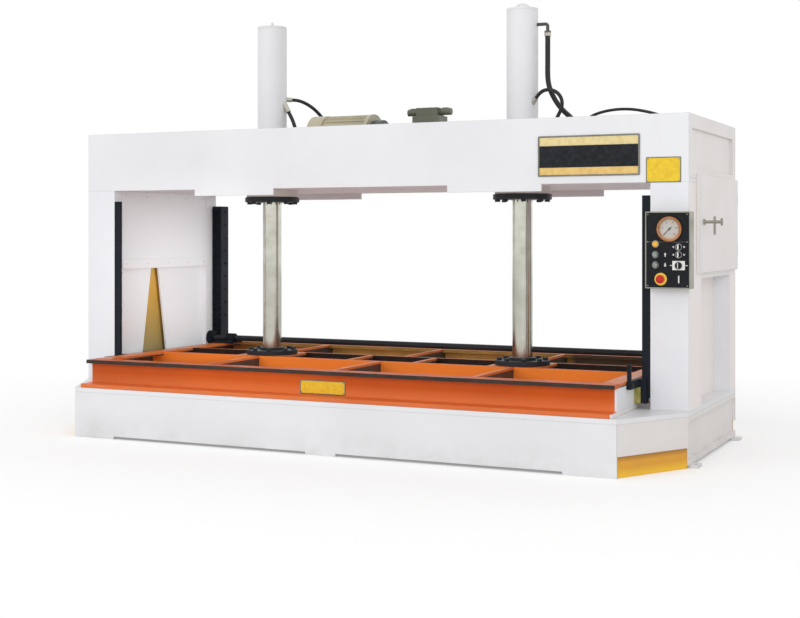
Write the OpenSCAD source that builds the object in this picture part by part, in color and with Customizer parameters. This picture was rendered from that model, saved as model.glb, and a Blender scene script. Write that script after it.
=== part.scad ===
// Hydraulic cold press for gluing wooden panels.
// A welded portal frame carries two cylinders. Their rods lower a platen onto the bed.
// Lengths are in millimetres. The origin is on the floor, midway between the columns.
// +X runs along the beam towards the control box, and -Y is the front.

/* [Frame] */
// Length over the two columns
frame_l = 3600; // [3400:10:4000]
// Depth of the columns and of the top beam
frame_d = 1090; // [1080:10:1200]
// Distance of the cylinders and the platen in front of the columns' middle
press_shift = 115; // [80:5:130]
// Height of the beam's top edge
frame_h = 1724; // [1700:2:1800]
// Width of a column seen from the front
col_w = 190; // [180:2:220]
// Thickness of the welded plates
sheet_t = 12; // [8:1:16]
// Wall of the box-section posts
post_wall = 10; // [6:1:14]

/* [Base] */
// Height of the bed's top face
base_h = 275; // [250:1:300]
// Depth of the base from front to back
base_d = 1700; // [1690:10:1800]
// Length that each sloped corner takes off the front edge
corner_x = 237; // [200:1:280]
// Thickness of the bed plate
bed_t = 25; // [20:1:40]
// Height of the feet under the base
foot_h = 14; // [10:1:24]
// Length of the feet at the ends of the aprons
end_foot_l = 265; // [150:5:350]
// Length of the foot in the middle of the aprons
mid_foot_l = 176; // [100:2:300]
// Height of the coloured kick plates at the corners
kick_h = 100; // [60:1:140]
// Depth that the kick plates are set back
kick_recess = 8; // [4:1:10]
// Height of the rim above the side panel's recess
side_rim = 24; // [20:1:40]
// Depth of the side panel's recess
side_recess = 15; // [14:1:30]
// Distance of the inner ribs from the middle of the base
base_rib_y = 350; // [250:10:360]
// Length of an anchor foot along the side
lug_l = 80; // [60:2:90]
// Length that an anchor foot stands out of the side
lug_out = 40; // [34:1:60]
// Distance of the anchor feet from the middle
lug_y = 485; // [400:5:490]
// Diameter of the anchor holes
anchor_d = 18; // [14:1:24]

/* [Columns] */
// Depth of the front posts on the outer side
front_out = 262; // [200:2:300]
// Depth of the front posts on the inner side
front_in = 77; // [60:1:120]
// Depth of the rear posts on the outer side
rear_out = 154; // [140:2:200]
// Depth of the rear posts on the inner side
rear_in = 120; // [112:1:135]
// Depth of the recess on the outer side
back_recess = 88; // [70:1:95]
// Depth of the web behind the posts' inner face
web_recess = 30; // [24:1:40]
// Height of the inner cover's lower edge
cover_z = 925; // [800:5:1100]
// Height of the folded band along the cover's lower edge
band_h = 60; // [40:1:90]
// Width of the tapered slot at its top
slot_top_w = 75; // [50:1:100]
// Width of the tapered slot at its bottom
slot_low_w = 290; // [150:5:320]
// Place of the slot along the depth
slot_y = -100; // [-150:5:0]

/* [Beam] */
// Height of the beam's side plates above the columns
beam_h = 336; // [320:2:360]
// Depth of the lips beside the cylinders
lip_h = 36; // [20:1:60]
// Length of a lip
lip_l = 520; // [400:10:700]
// Thickness of the beam's floor
floor_t = 20; // [14:1:30]
// Depth of the recess in the beam's end panels
end_recess = 14; // [8:1:60]
// Width of the border around the end recess
end_border = 70; // [50:1:90]
// Height of the cross plates inside the beam
diaphragm_h = 190; // [120:5:230]

/* [Cylinders] */
// Distance of each cylinder from the middle
cyl_x = 787; // [760:1:820]
// Outer diameter of the cylinder tube
tube_d = 172; // [164:2:190]
// Bore of the cylinder
bore_d = 140; // [130:1:150]
// Length of the cylinder tube
tube_l = 996; // [960:2:1100]
// Thickness of the end cap
cap_t = 12; // [10:1:24]
// Diameter of the piston rod
rod_d = 110; // [90:1:116]
// Height of the piston
piston_h = 60; // [40:1:80]
// Diameter of the gland flange under the beam
gland_d = 320; // [310:2:360]
// Thickness of the gland flange
gland_t = 28; // [20:1:36]
// Diameter of the boss over the gland flange
boss_d = 300; // [296:2:308]
// Height of the boss over the gland flange
boss_h = 38; // [30:1:50]
// Pitch circle of the gland bolts
gland_pcd = 270; // [256:1:276]
// Diameter of the flange at the rod's foot
foot_d = 300; // [290:2:320]
// Thickness of the flange at the rod's foot
foot_t = 26; // [18:1:34]
// Pitch circle of the foot bolts
foot_pcd = 250; // [210:1:260]
// Diameter of the flange bolts
bolt_d = 16; // [12:1:20]
// Number of bolts in each flange
bolt_n = 8; // [6:1:10]

/* [Platen] */
// Clearance between the platen's ends and the columns
platen_gap = 75; // [72:1:80]
// Distance of the pressing plate's edge from the front and the back of the base
press_in = 5; // [4:1:20]
// Height of the platen
platen_h = 150; // [130:1:180]
// Thickness of the pressing plate
press_t = 20; // [14:1:30]
// Length that the pressing plate stands out at the front and back
press_lip = 58; // [20:1:60]
// Width of the top flanges
flange_w = 90; // [80:2:110]
// Thickness of the top flanges
flange_t = 20; // [10:1:24]
// Thickness of the webs
web_t = 12; // [8:1:16]
// Thickness of the middle beams and the cross ribs
plate_t = 25; // [16:1:30]
// Distance of the two middle beams from the centre line
mid_beam_y = 157; // [152:1:170]
// Distance of the ribs between the middle beams from the middle of the press
mid_rib_x = 205; // [150:5:400]
// Clearance between the platen and the bed
rest_gap = 0.5; // [0.3:0.1:1]

/* [Guides] */
// Width of the front guide rails
rail_w = 42; // [40:1:43]
// Thickness of the front guide rails
rail_t = 16; // [10:1:24]
// Running clearance beside the rails
guide_gap = 0.4; // [0.3:0.05:0.8]
// Width of the toothed racks
rack_w = 68; // [60:1:69]
// Depth of the racks behind the pitch line
rack_body = 90; // [70:1:100]
// Length that the racks stand out behind the columns
rack_out = 45; // [30:1:50]
// Gear module of the racks and pinions
gear_m = 4; // [3:0.5:4]
// Number of pinion teeth
pinion_n = 20; // [18:1:22]
// Diameter of the cross shaft
shaft_d = 36; // [30:1:40]
// Height of the shaft over the platen
shaft_rise = 32; // [30:1:40]

/* [Electrical cabinet] */
// Height of the beam's floor over the cabinet's lower edge
cab_drop = 447; // [388:1:458]
// Height of the flush sill under the door
sill_h = 29; // [20:1:40]
// Width of the door
door_w = 906; // [860:2:930]
// Distance of the door's rear edge from the column's rear face
door_back = 32; // [28:1:60]
// Height of the door
door_h = 489; // [470:1:520]
// Depth of the folded door
door_t = 20; // [16:1:30]
// Thickness of the door's sheet
door_sheet = 3; // [2:0.5:4]
// Diameter of the hinge pins
hinge_d = 10; // [8:1:12]
// Place of the handle along the depth
handle_y = -315; // [-330:5:-290]
// Diameter of the handle's spindle
spindle_d = 16; // [12:1:20]
// Length of the handle over the door
handle_l = 95; // [70:1:110]
// Length of the handle's cross bar
tee_l = 92; // [60:1:120]

/* [Control box] */
// Width of the box
box_w = 220; // [210:2:240]
// Height of the box
box_h = 372; // [364:2:420]
// Depth of the box
box_d = 75; // [60:1:100]
// Height of the middle of the box
box_z = 1058; // [1000:2:1100]
// Wall of the box
box_wall = 3; // [2:0.5:5]
// Thickness of the front panel
panel_t = 3; // [2:0.5:5]
// Width of the bright border around the panel
panel_rim = 6; // [4:1:8]
// Diameter of the pressure gauge
gauge_d = 120; // [100:1:126]
// Diameter of the button caps
cap_d = 28; // [22:1:30]
// Diameter of the switch stems
stem_d = 14; // [10:1:16]
// Travel of the push buttons
button_travel = 4; // [2:0.5:5]
// Diameter of the stop button's head
stop_d = 40; // [34:1:44]
// Travel of the stop button
stop_travel = 6; // [4:0.5:7]

/* [Power unit] */
// Length of the oil tank
tank_l = 980; // [940:5:985]
// Depth of the oil tank
tank_d = 460; // [455:5:600]
// Height of the oil tank
tank_h = 144; // [120:2:170]
// Wall of the oil tank
tank_wall = 4; // [3:0.5:6]
// Thickness of the tank's lid
lid_t = 8; // [6:1:12]
// Diameter of the motor over its fins
motor_d = 260; // [220:2:266]
// Length of the motor's body
motor_l = 311; // [280:1:330]
// Height of the motor's axis over the lid
motor_rise = 137; // [134:1:150]
// Height of the valve manifold
manifold_h = 243; // [180:1:260]
// Width of the valve manifold
manifold_w = 165; // [140:1:175]
// Height of the solenoid valve
valve_h = 46; // [40:1:80]

/* [Hidden] */
$fn = 48;
part_gap = 0.3;
run_gap = 0.05;
white = [0.93, 0.93, 0.94];
orange = [0.88, 0.43, 0.18];
black = [0.15, 0.18, 0.22];
steel = [0.72, 0.73, 0.75];
yellow = [0.93, 0.70, 0.15];
brass = [0.78, 0.55, 0.30];

// Frame levels and faces
half_l = frame_l / 2;
half_d = frame_d / 2;
press_y = -press_shift;
base_front = press_y - base_d / 2;
base_rear = press_y + base_d / 2;
front_reach = -half_d - base_front;
rear_reach = base_rear - half_d;
edge_x = half_l - corner_x;
col_in = half_l - col_w;
split_x = half_l - back_recess - sheet_t;
web_x = col_in + web_recess;
under_bed = base_h - bed_t;
floor_z = frame_h - beam_h;
floor_top = floor_z + floor_t;
web_y0 = -half_d + front_in;
web_y1 = half_d - rear_in;
back_y0 = -half_d + front_out;
back_y1 = half_d - rear_out;
slot_sill = 25;
cover_t = 4;
cover_gap = 2;
band_out = 6;
lug_in = 45;
side_lip = 31;
side_low = foot_h + side_lip;
anchor_x = half_l + lug_out / 2;

// Cylinder levels
tube_z0 = floor_z - boss_h;
tube_top = tube_z0 + tube_l;
gland_z0 = tube_z0 - gland_t;
piston_lift = 20;
piston_z0 = tube_z0 + piston_lift;
bolt_head = bolt_d * 0.8;
hex_r = bolt_d * 0.92;
bolt_deep = 22;
arch_r = 46;
arch_bar = 6;
arch_sink = 20;

// Platen levels and beam places
press_z0 = base_h + rest_gap;
web_z0 = press_z0 + press_t;
platen_top = press_z0 + platen_h;
flange_z0 = platen_top - flange_t;
platen_x = col_in - platen_gap;
press_half = base_d / 2 - press_in;
platen_d = 2 * (press_half - press_lip);
beam_y = platen_d / 2 - flange_w / 2;
diaphragm_xs = [-1250, -575, 575, 1250];
diaphragm_t = 10;
rib_xs = [-cyl_x, 0, cyl_x];
// Root gap between plates that are welded to each other
weld_gap = 0.1;
under_flange = flange_z0 - weld_gap;
end_flange_x = platen_x - flange_w;
press_corner = 6;
end_t = 12;

// Guides and gearing
rail_x = col_in - rail_w;
rail_low = 57;
rail_high = 63;
rail_z0 = base_h + rail_low;
rail_z1 = floor_z - rail_high;
rail_y = -half_d + rail_t / 2;
rack_short = 10;
rack_back = half_d + rack_out;
pitch_y = rack_back - rack_body;
pitch_r = gear_m * pinion_n / 2;
pitch = PI * gear_m;
pressure = 20;
base_r = pitch_r * cos(pressure);
tip_r = pitch_r + gear_m;
root_r = pitch_r - 1.25 * gear_m;
play_deg = 0.4;
shaft_y = pitch_y - pitch_r;
shaft_z = platen_top + shaft_rise;
pinion_l = 40;
pinion_in = 5;
pinion_x = col_in - pinion_in - pinion_l / 2;
shaft_end = col_in - 3;
bearing_in = 100;
bearing_x = platen_x - bearing_in;
bearing_l = 56;
bearing_r = shaft_d / 2 + 12;
bearing_base = [90, 120, 12];
pad_t = 10;
pad_l = 62;
pad_z0 = web_z0 + 10;
jaw_grip = 24;
jaw_t = 20;
arm_l = 170;
arm_h = 40;
arm_t = 22;
mark_post_in = 14;
mark_post_r = 11;
mark_post_h = 80;

// Cabinet door and its hinges
cab_z = floor_z - cab_drop;
door_x0 = half_l + 0.5;
door_x1 = half_l + door_t;
door_y1 = half_d - door_back;
door_y0 = door_y1 - door_w;
knuckle_r = hinge_d / 2 + 3;
knuckle_l = 30;
hinge_x = half_l + 11;
hinge_y = door_y1 + knuckle_r + 5;
hinge_in = 110;
hinge_zs = [cab_z + hinge_in, cab_z + door_h - hinge_in];
leaf_t = 8;
handle_z = cab_z + 0.52 * door_h;
cam_l = 45;
cam_w = 20;
cam_t = 6;
collar_t = 8;
tee_r = 6;

// Control gear inside the cabinet: heights are measured from its lower edge
gear_back = split_x + sheet_t + 3;
gear_plate = 2;
gear_edge = 40;
gear_low = 30;
gear_high = 275;
device_rails = [95, 205];
device_rail_t = 6;
device_rail_w = 35;
device_edge = 20;
contactor = [55, 70, 80];
contactor_step = 85;
contactor_n = 3;
clamp = [40, 26, 60];
clamp_step = 32;
clamp_n = 8;
clamp_edge = 30;
controller = [60, 170, 90];

// Control panel: places are measured from the middle of the box
box_x = col_in + 104;
box_y = -half_d - box_d;
face_y = box_y - panel_t;
left_row = box_x - 58;
right_row = box_x + 55;
gauge_at = [box_x + 11, box_z + 101];
lamp_at = [left_row, box_z + 29];
raise_at = [left_row, box_z - 22];
lower_at = [left_row, box_z - 72];
select_a = [right_row, box_z + 15];
select_b = [right_row, box_z - 22];
rotary_at = [right_row, box_z - 74];
stop_at = [box_x - 32, box_z - 140];
collar_h = 4;
stem_back = 14;
bezel_h = 14;
bezel_w = 6;
dial_h = 5;
pivot_d = 6;
rotary_plate = [60, 44];
select_d = 26;
rotary_d = 34;

// Power unit places
tank_x = -70;
lid_top = floor_top + tank_h + lid_t;
motor_z = lid_top + motor_rise;
motor_x = -150;
fan_l = 80;
core_r = motor_d / 2 - 12;
fin_n = 24;
fin_t = 4;
bell_l = 60;
pump_l = 60;
unit_y = -25;
manifold_x = 196;
manifold_d = 120;
valve_z = lid_top + manifold_h;
valve_l = 130;
coil_l = 68;
breather_at = [360, 150];

// Hoses: hand-chosen points from a cylinder's axis at the beam's floor, and the outer diameters
hose_sides = 10;
right_at = [cyl_x, press_y, floor_top];
left_at = [-cyl_x, press_y, floor_top];
right_upper_d = 28;
right_upper = [for (p = [
    [145, 0, 794], [145, 0, 729], [145, 0, 660], [145, 0, 592], [149, 0, 543], [162, 0, 498],
    [182, 0, 457], [207, 0, 419], [237, 0, 385], [269, 0, 356], [299, 0, 323], [322, 0, 285],
    [336, 0, 242], [341, 0, 192], [341, 0, 122], [341, 0, 42]]) right_at + p];
right_lower_d = 20;
right_lower = [for (p = [
    [93, -40, 459], [111, -44, 479], [135, -50, 494], [164, -55, 499], [193, -60, 494],
    [218, -62, 481], [237, -64, 460], [247, -65, 433], [246, -66, 403], [234, -66, 373],
    [216, -66, 339], [201, -66, 301], [191, -66, 258], [186, -66, 210], [185, -66, 132],
    [185, -66, 42]]) right_at + p];
gauge_line_d = 16;
gauge_line = [for (p = [
    [273, 150, 42], [273, 150, 132], [275, 150, 212], [285, 149, 282], [307, 147, 332],
    [343, 144, 364], [391, 141, 382], [449, 138, 393], [513, 135, 397], [577, 132, 393],
    [637, 129, 382], [697, 126, 366], [753, 123, 344], [805, 121, 314], [847, 120, 274],
    [875, 120, 222], [887, 120, 162], [889, 120, 102], [889, 120, 42]]) right_at + p];
left_upper_d = 20;
left_upper = [for (p = [
    [97, 64, 522], [123, 81, 520], [149, 102, 511], [173, 128, 495], [195, 158, 472],
    [214, 191, 442], [231, 223, 405], [245, 252, 363], [256, 276, 317], [263, 292, 270],
    [267, 300, 224], [267, 300, 182]]) left_at + p];
left_lower_d = 22;
left_lower = [for (p = [
    [112, 0, 444], [124, 0, 423], [138, 0, 396], [150, 0, 366], [160, 0, 333], [167, 0, 298],
    [171, 0, 262], [172, 0, 222], [172, 0, 172], [172, 0, 112], [172, 0, 42]]) left_at + p];
ferrule_wall = 4;
pipe_d = 18;
pipe_drop = 78;
pipe_z = tube_top - pipe_drop;
pipe_sink = 12;
pipe_bend = 14;
upper_ferrule = 28;
lower_ferrule = 40;
left_upper_ferrule = 50;
left_lower_ferrule = 60;

// Shared shapes
// A box between two opposite corners
module box(low, high) {
    translate(low) cube(high - low);
}

// The children and their mirror image across the middle, left to right
module both_sides() {
    children();
    mirror([1, 0, 0]) children();
}

// The children and their mirror image, front to back
module both_ways() {
    children();
    mirror([0, 1, 0]) children();
}

// A profile given in Y and Z, drawn along X from x0
module along_x(x0, length) {
    translate([x0, 0, 0]) rotate([90, 0, 90]) linear_extrude(length) children();
}

// A profile given in X and Z, drawn back along Y from y0
module along_y(y0, length) {
    translate([0, y0 + length, 0]) rotate([90, 0, 0]) linear_extrude(length) children();
}

// A lying cylinder along X
module x_rod(x0, x1, r, y, z) {
    translate([x0, y, z]) rotate([0, 90, 0]) cylinder(h = x1 - x0, r = r);
}

// The children at both cylinders
module at_cylinders() {
    for (side = [-1, 1])
        translate([side * cyl_x, press_y, 0]) children();
}

// The children at each bolt of a flange
module on_circle(diameter) {
    for (i = [0 : bolt_n - 1])
        rotate([0, 0, (i + 0.5) * 360 / bolt_n]) translate([diameter / 2, 0, 0]) children();
}

// The children on the front panel, with their +Z towards the operator
module on_panel(at) {
    translate([at[0], face_y, at[1]]) rotate([90, 0, 0]) children();
}

// Sweeping a round tube along a list of points
function unit(v) = v / norm(v);
function tangent(p, i) = unit(p[min(i + 1, len(p) - 1)] - p[max(i - 1, 0)]);
function across(t) = unit(cross(t, abs(t[1]) < 0.9 ? [0, 1, 0] : [1, 0, 0]));
function ring(p, i, r) =
    let (t = tangent(p, i), u = across(t), v = cross(t, u))
    [for (k = [0 : hose_sides - 1])
        let (a = 360 * k / hose_sides) p[i] + r * cos(a) * u + r * sin(a) * v];
module hose(points, diameter) {
    last = len(points) - 1;
    rings = [for (i = [0 : last]) each ring(points, i, diameter / 2)];
    walls = [for (i = [0 : last - 1], k = [0 : hose_sides - 1])
        let (n = (k + 1) % hose_sides, a = i * hose_sides, b = a + hose_sides)
        [a + k, b + k, b + n, a + n]];
    caps = [[for (k = [0 : hose_sides - 1]) k],
        [for (k = [hose_sides - 1 : -1 : 0]) last * hose_sides + k]];
    color(black) polyhedron(rings, concat(walls, caps), convexity = 6);
}

// A ferrule of the given length that ends where a hose begins
module ferrule(points, diameter, length) {
    dir = tangent(points, 0);
    from = points[0] - length * dir;
    tilt = acos(dir[2]);
    turn = atan2(dir[1], dir[0]);
    translate(from) rotate([0, tilt, turn]) cylinder(h = length, d = diameter + 2 * ferrule_wall);
}

// A straight fitting that stands on a level face and takes a hose end
module stand_fitting(top, level, diameter) {
    hex = 14;
    translate([top[0], top[1], level]) {
        cylinder(h = top[2] - level, d = diameter + 2 * ferrule_wall);
        cylinder(h = hex, r = diameter / 2 + 9, $fn = 6);
    }
}

// Base
module bed_plate() {
    outline = [[-edge_x, base_front], [edge_x, base_front], [half_l, -half_d], [half_l, half_d],
        [edge_x, base_rear], [-edge_x, base_rear], [-half_l, half_d], [-half_l, -half_d]];
    color(white) translate([0, 0, under_bed]) linear_extrude(bed_t) polygon(outline);
}

module apron(y) {
    difference() {
        box([-edge_x, y, 0], [edge_x, y + sheet_t, under_bed]);
        both_sides()
            box([mid_foot_l / 2, y - 1, -1], [edge_x - end_foot_l, y + sheet_t + 1, foot_h]);
    }
}

module base_aprons() {
    color(white) {
        apron(base_front);
        apron(base_rear - sheet_t);
    }
}

// A sloped panel at a front corner that reaches the given depth in front of the column
module corner_panel(reach, inset, z0, z1) {
    slope = norm([corner_x, reach]);
    by_x = slope / reach;
    by_y = slope / corner_x;
    front = -half_d - reach;
    outline = [[edge_x, front + inset * by_y], [half_l - inset * by_x, -half_d],
        [half_l - (inset + sheet_t) * by_x, -half_d], [edge_x, front + (inset + sheet_t) * by_y]];
    translate([0, 0, z0]) linear_extrude(z1 - z0) polygon(outline);
}

module corner_panels(inset, z0, z1) {
    corner_panel(front_reach, inset, z0, z1);
    mirror([0, 1, 0]) corner_panel(rear_reach, inset, z0, z1);
}

module base_side_panels() {
    rim_z = under_bed - side_rim;
    inner = half_l - side_recess - sheet_t;
    color(white) both_sides() {
        union() {
            box([half_l - sheet_t, -half_d, rim_z], [half_l, half_d, under_bed]);
            box([inner, -half_d, rim_z], [half_l, half_d, rim_z + sheet_t]);
            box([inner, -half_d, side_low - sheet_t], [half_l - side_recess, half_d, rim_z + sheet_t]);
            box([inner, -half_d, side_low - sheet_t], [half_l, half_d, side_low]);
            box([half_l - sheet_t, -half_d, foot_h], [half_l, half_d, side_low]);
        }
        corner_panels(0, kick_h, under_bed);
    }
}

module base_ribs() {
    end_x = half_l - side_recess - sheet_t;
    half_t = sheet_t / 2;
    y0 = press_y - base_rib_y;
    y1 = press_y + base_rib_y;
    color(white) {
        for (y = [y0, y1])
            box([-end_x, y - half_t, foot_h], [end_x, y + half_t, under_bed]);
        for (x = rib_xs) {
            box([x - half_t, base_front + sheet_t, foot_h], [x + half_t, y0 - half_t, under_bed]);
            box([x - half_t, y0 + half_t, foot_h], [x + half_t, y1 - half_t, under_bed]);
            box([x - half_t, y1 + half_t, foot_h], [x + half_t, base_rear - sheet_t, under_bed]);
        }
    }
}

module kick_plates() {
    color(yellow) both_sides() corner_panels(kick_recess, 0, kick_h);
}

module anchor_feet() {
    in_x = half_l - lug_in;
    color(white) both_sides() both_ways() difference() {
        box([in_x, lug_y - lug_l / 2, 0], [half_l + lug_out, lug_y + lug_l / 2, foot_h]);
        translate([anchor_x, lug_y, -1]) cylinder(h = foot_h + 2, d = anchor_d);
    }
}

// Columns
function post_outline(out_d, in_d, inset) = [
    [col_in + inset, -half_d + inset], [half_l - inset, -half_d + inset],
    [half_l - inset, -half_d + out_d - inset], [split_x + inset, -half_d + out_d - inset],
    [split_x + inset, -half_d + in_d - inset], [col_in + inset, -half_d + in_d - inset]];

module post(out_d, in_d) {
    translate([0, 0, base_h]) linear_extrude(floor_z - base_h) difference() {
        polygon(post_outline(out_d, in_d, 0));
        polygon(post_outline(out_d, in_d, post_wall));
    }
}

module column_posts() {
    color(white) both_sides() {
        post(front_out, front_in);
        mirror([0, 1, 0]) post(rear_out, rear_in);
    }
}

module column_webs() {
    slot = [[slot_y - slot_low_w / 2, base_h + slot_sill], [slot_y + slot_low_w / 2, base_h + slot_sill],
        [slot_y + slot_top_w / 2, cover_z], [slot_y - slot_top_w / 2, cover_z]];
    color(white) both_sides() {
        difference() {
            box([web_x, web_y0, base_h], [web_x + sheet_t, web_y1, floor_z]);
            along_x(web_x - 1, sheet_t + 2) polygon(slot);
        }
        box([split_x, back_y0, base_h], [split_x + sheet_t, back_y1, floor_z]);
    }
}

module column_covers() {
    x0 = col_in + cover_gap;
    color(white) both_sides() union() {
        box([x0, web_y0, cover_z], [x0 + cover_t, web_y1, floor_z]);
        box([x0 - band_out, web_y0, cover_z], [x0 + cover_t, web_y1, cover_z + band_h]);
        box([x0, web_y0, cover_z], [web_x, web_y1, cover_z + cover_t]);
    }
}

// Electrical cabinet
module hinge_knuckle(z) {
    translate([hinge_x, hinge_y, z - knuckle_l]) cylinder(h = knuckle_l, r = knuckle_r);
    translate([hinge_x, hinge_y, z - knuckle_l]) cylinder(h = 2 * knuckle_l - 2, d = hinge_d);
    box([half_l, hinge_y - leaf_t / 2, z - knuckle_l], [hinge_x, hinge_y + leaf_t / 2, z]);
}

module electrical_cabinet() {
    x0 = split_x + sheet_t;
    w = door_sheet;
    color(white) {
        difference() {
            box([x0, back_y0, cab_z - sill_h], [half_l, back_y1, floor_z]);
            box([x0 + w, back_y0 + w, cab_z - sill_h + w], [half_l - w, back_y1 - w, floor_z - w]);
            box([half_l - w - 1, back_y0 + w, cab_z + w], [half_l + 1, back_y1 - w, floor_z - w]);
        }
        for (z = hinge_zs) hinge_knuckle(z);
    }
}

// Mounting plate with two device rails, contactors, terminals and a controller
module switchgear() {
    low_z = cab_z + device_rails[0];
    high_z = cab_z + device_rails[1];
    y0 = back_y0 + gear_edge;
    y1 = back_y1 - gear_edge;
    plate_x = gear_back + gear_plate;
    front = plate_x + device_rail_t;
    color([0.35, 0.37, 0.40]) {
        box([gear_back, y0, cab_z + gear_low], [plate_x, y1, cab_z + gear_high]);
        for (z = [low_z, high_z])
            box([plate_x, y0, z - device_rail_w / 2], [front, y1, z + device_rail_w / 2]);
        for (i = [0 : contactor_n - 1])
            translate([front, y0 + device_edge + i * contactor_step, high_z - contactor[2] / 2])
                cube(contactor);
        for (i = [0 : clamp_n - 1])
            translate([front, y0 + clamp_edge + i * clamp_step, low_z - clamp[2] / 2]) cube(clamp);
        translate([front, y1 - device_edge - controller[1], high_z - controller[2] / 2])
            cube(controller);
    }
}

module cabinet_door() {
    w = door_sheet;
    color(white) difference() {
        union() {
            difference() {
                box([door_x0, door_y0, cab_z], [door_x1, door_y1, cab_z + door_h]);
                box([door_x0 - 1, door_y0 + w, cab_z + w], [door_x1 - w, door_y1 - w, cab_z + door_h - w]);
            }
            for (z = hinge_zs) {
                translate([hinge_x, hinge_y, z + part_gap])
                    cylinder(h = knuckle_l, r = knuckle_r);
                box([hinge_x - leaf_t / 2, door_y1 - 1, z + part_gap],
                    [hinge_x + leaf_t / 2, hinge_y, z + part_gap + knuckle_l]);
            }
        }
        for (z = hinge_zs)
            translate([hinge_x, hinge_y, z - 1]) cylinder(h = knuckle_l + 3, r = hinge_d / 2 + run_gap);
        x_rod(door_x1 - w - 1, door_x1 + 1, spindle_d / 2 + run_gap, handle_y, handle_z);
    }
}

module door_handle() {
    inside = door_x1 - door_sheet - part_gap;
    end_x = door_x1 + handle_l;
    bar_x = door_x1 + 0.57 * handle_l;
    knob_l = 0.4 * tee_l;
    color(steel) union() {
        x_rod(inside - cam_t, end_x, spindle_d / 2, handle_y, handle_z);
        x_rod(door_x1 + part_gap, door_x1 + part_gap + collar_t, spindle_d / 2 + 6, handle_y, handle_z);
        box([inside - cam_t, handle_y - cam_w / 2, handle_z - cam_l],
            [inside, handle_y + cam_w / 2, handle_z]);
        translate([bar_x, handle_y, handle_z - 0.7 * tee_l]) cylinder(h = tee_l, r = tee_r);
        translate([end_x - tee_r, handle_y, handle_z - knob_l / 2]) cylinder(h = knob_l, r = tee_r);
    }
}

// Beam
module beam_side_plates() {
    lip0 = cyl_x - lip_l / 2;
    lip1 = cyl_x + lip_l / 2;
    lip_z = floor_z - lip_h;
    outline = [[-half_l, floor_z], [-lip1, floor_z], [-lip1, lip_z], [-lip0, lip_z], [-lip0, floor_z],
        [lip0, floor_z], [lip0, lip_z], [lip1, lip_z], [lip1, floor_z], [half_l, floor_z],
        [half_l, frame_h], [-half_l, frame_h]];
    color(white) both_ways() along_y(-half_d, sheet_t) polygon(outline);
}

module beam_inner_plates() {
    in_y = half_d - sheet_t;
    color(white) {
        difference() {
            box([-half_l, -in_y, floor_z], [half_l, in_y, floor_top]);
            at_cylinders() translate([0, 0, floor_z - 1])
                cylinder(h = floor_t + 2, r = tube_d / 2 + part_gap);
        }
        for (x = diaphragm_xs)
            box([x - diaphragm_t / 2, -in_y, floor_top],
                [x + diaphragm_t / 2, in_y, floor_top + diaphragm_h]);
    }
}

module beam_end_plates() {
    in_y = half_d - sheet_t;
    edge_y = half_d - end_border;
    low_z = floor_top + end_border - floor_t;
    top_z = frame_h - end_border;
    deep_x = half_l - end_recess;
    color(white) both_sides() difference() {
        union() {
            box([half_l - sheet_t, -in_y, floor_top], [half_l, in_y, frame_h]);
            box([deep_x - sheet_t, -edge_y - sheet_t, low_z - sheet_t],
                [half_l, edge_y + sheet_t, top_z + sheet_t]);
        }
        box([deep_x, -edge_y, low_z], [half_l + 1, edge_y, top_z]);
    }
}

// Cylinders
module cylinder_tubes() {
    color(white) at_cylinders() translate([0, 0, tube_z0]) difference() {
        cylinder(h = tube_l, d = tube_d);
        translate([0, 0, -1]) cylinder(h = tube_l + 2, d = bore_d);
    }
}

module lifting_cap(turn) {
    cylinder(h = cap_t, d = tube_d);
    intersection() {
        rotate([0, 0, turn]) translate([0, 0, cap_t - arch_sink]) rotate([90, 0, 0])
            rotate_extrude(angle = 180) translate([arch_r, 0]) circle(r = arch_bar);
        cylinder(h = cap_t + 2 * arch_r, d = tube_d);
    }
}

module cylinder_caps() {
    color(white) {
        translate([cyl_x, press_y, tube_top]) lifting_cap(20);
        translate([-cyl_x, press_y, tube_top]) lifting_cap(115);
    }
}

module gland_flanges() {
    color(black) at_cylinders() difference() {
        union() {
            translate([0, 0, gland_z0]) cylinder(h = gland_t, d = gland_d);
            translate([0, 0, tube_z0 - 1]) cylinder(h = boss_h + 1, d = boss_d);
        }
        translate([0, 0, tube_z0]) cylinder(h = boss_h + 1, d = tube_d);
        translate([0, 0, gland_z0 - 1]) cylinder(h = gland_t + 2, r = rod_d / 2 + run_gap);
        on_circle(gland_pcd) translate([0, 0, gland_z0 - 1])
            cylinder(h = gland_t + bolt_deep + 2, r = bolt_d / 2 + part_gap);
    }
}

module gland_bolts() {
    color(black) at_cylinders() on_circle(gland_pcd) translate([0, 0, gland_z0 - bolt_head]) {
        cylinder(h = bolt_head, r = hex_r, $fn = 6);
        cylinder(h = bolt_head + gland_t + bolt_deep, d = bolt_d);
    }
}

// Power unit on the oil tank inside the beam
module oil_tank() {
    w = tank_wall;
    color(steel) translate([tank_x, unit_y, floor_top]) difference() {
        box([-tank_l / 2, -tank_d / 2, 0], [tank_l / 2, tank_d / 2, tank_h]);
        box([-tank_l / 2 + w, -tank_d / 2 + w, w], [tank_l / 2 - w, tank_d / 2 - w, tank_h + 1]);
    }
}

module tank_lid() {
    color(steel) translate([tank_x, unit_y, floor_top + tank_h])
        box([-tank_l / 2, -tank_d / 2, 0], [tank_l / 2, tank_d / 2, lid_t]);
}

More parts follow.
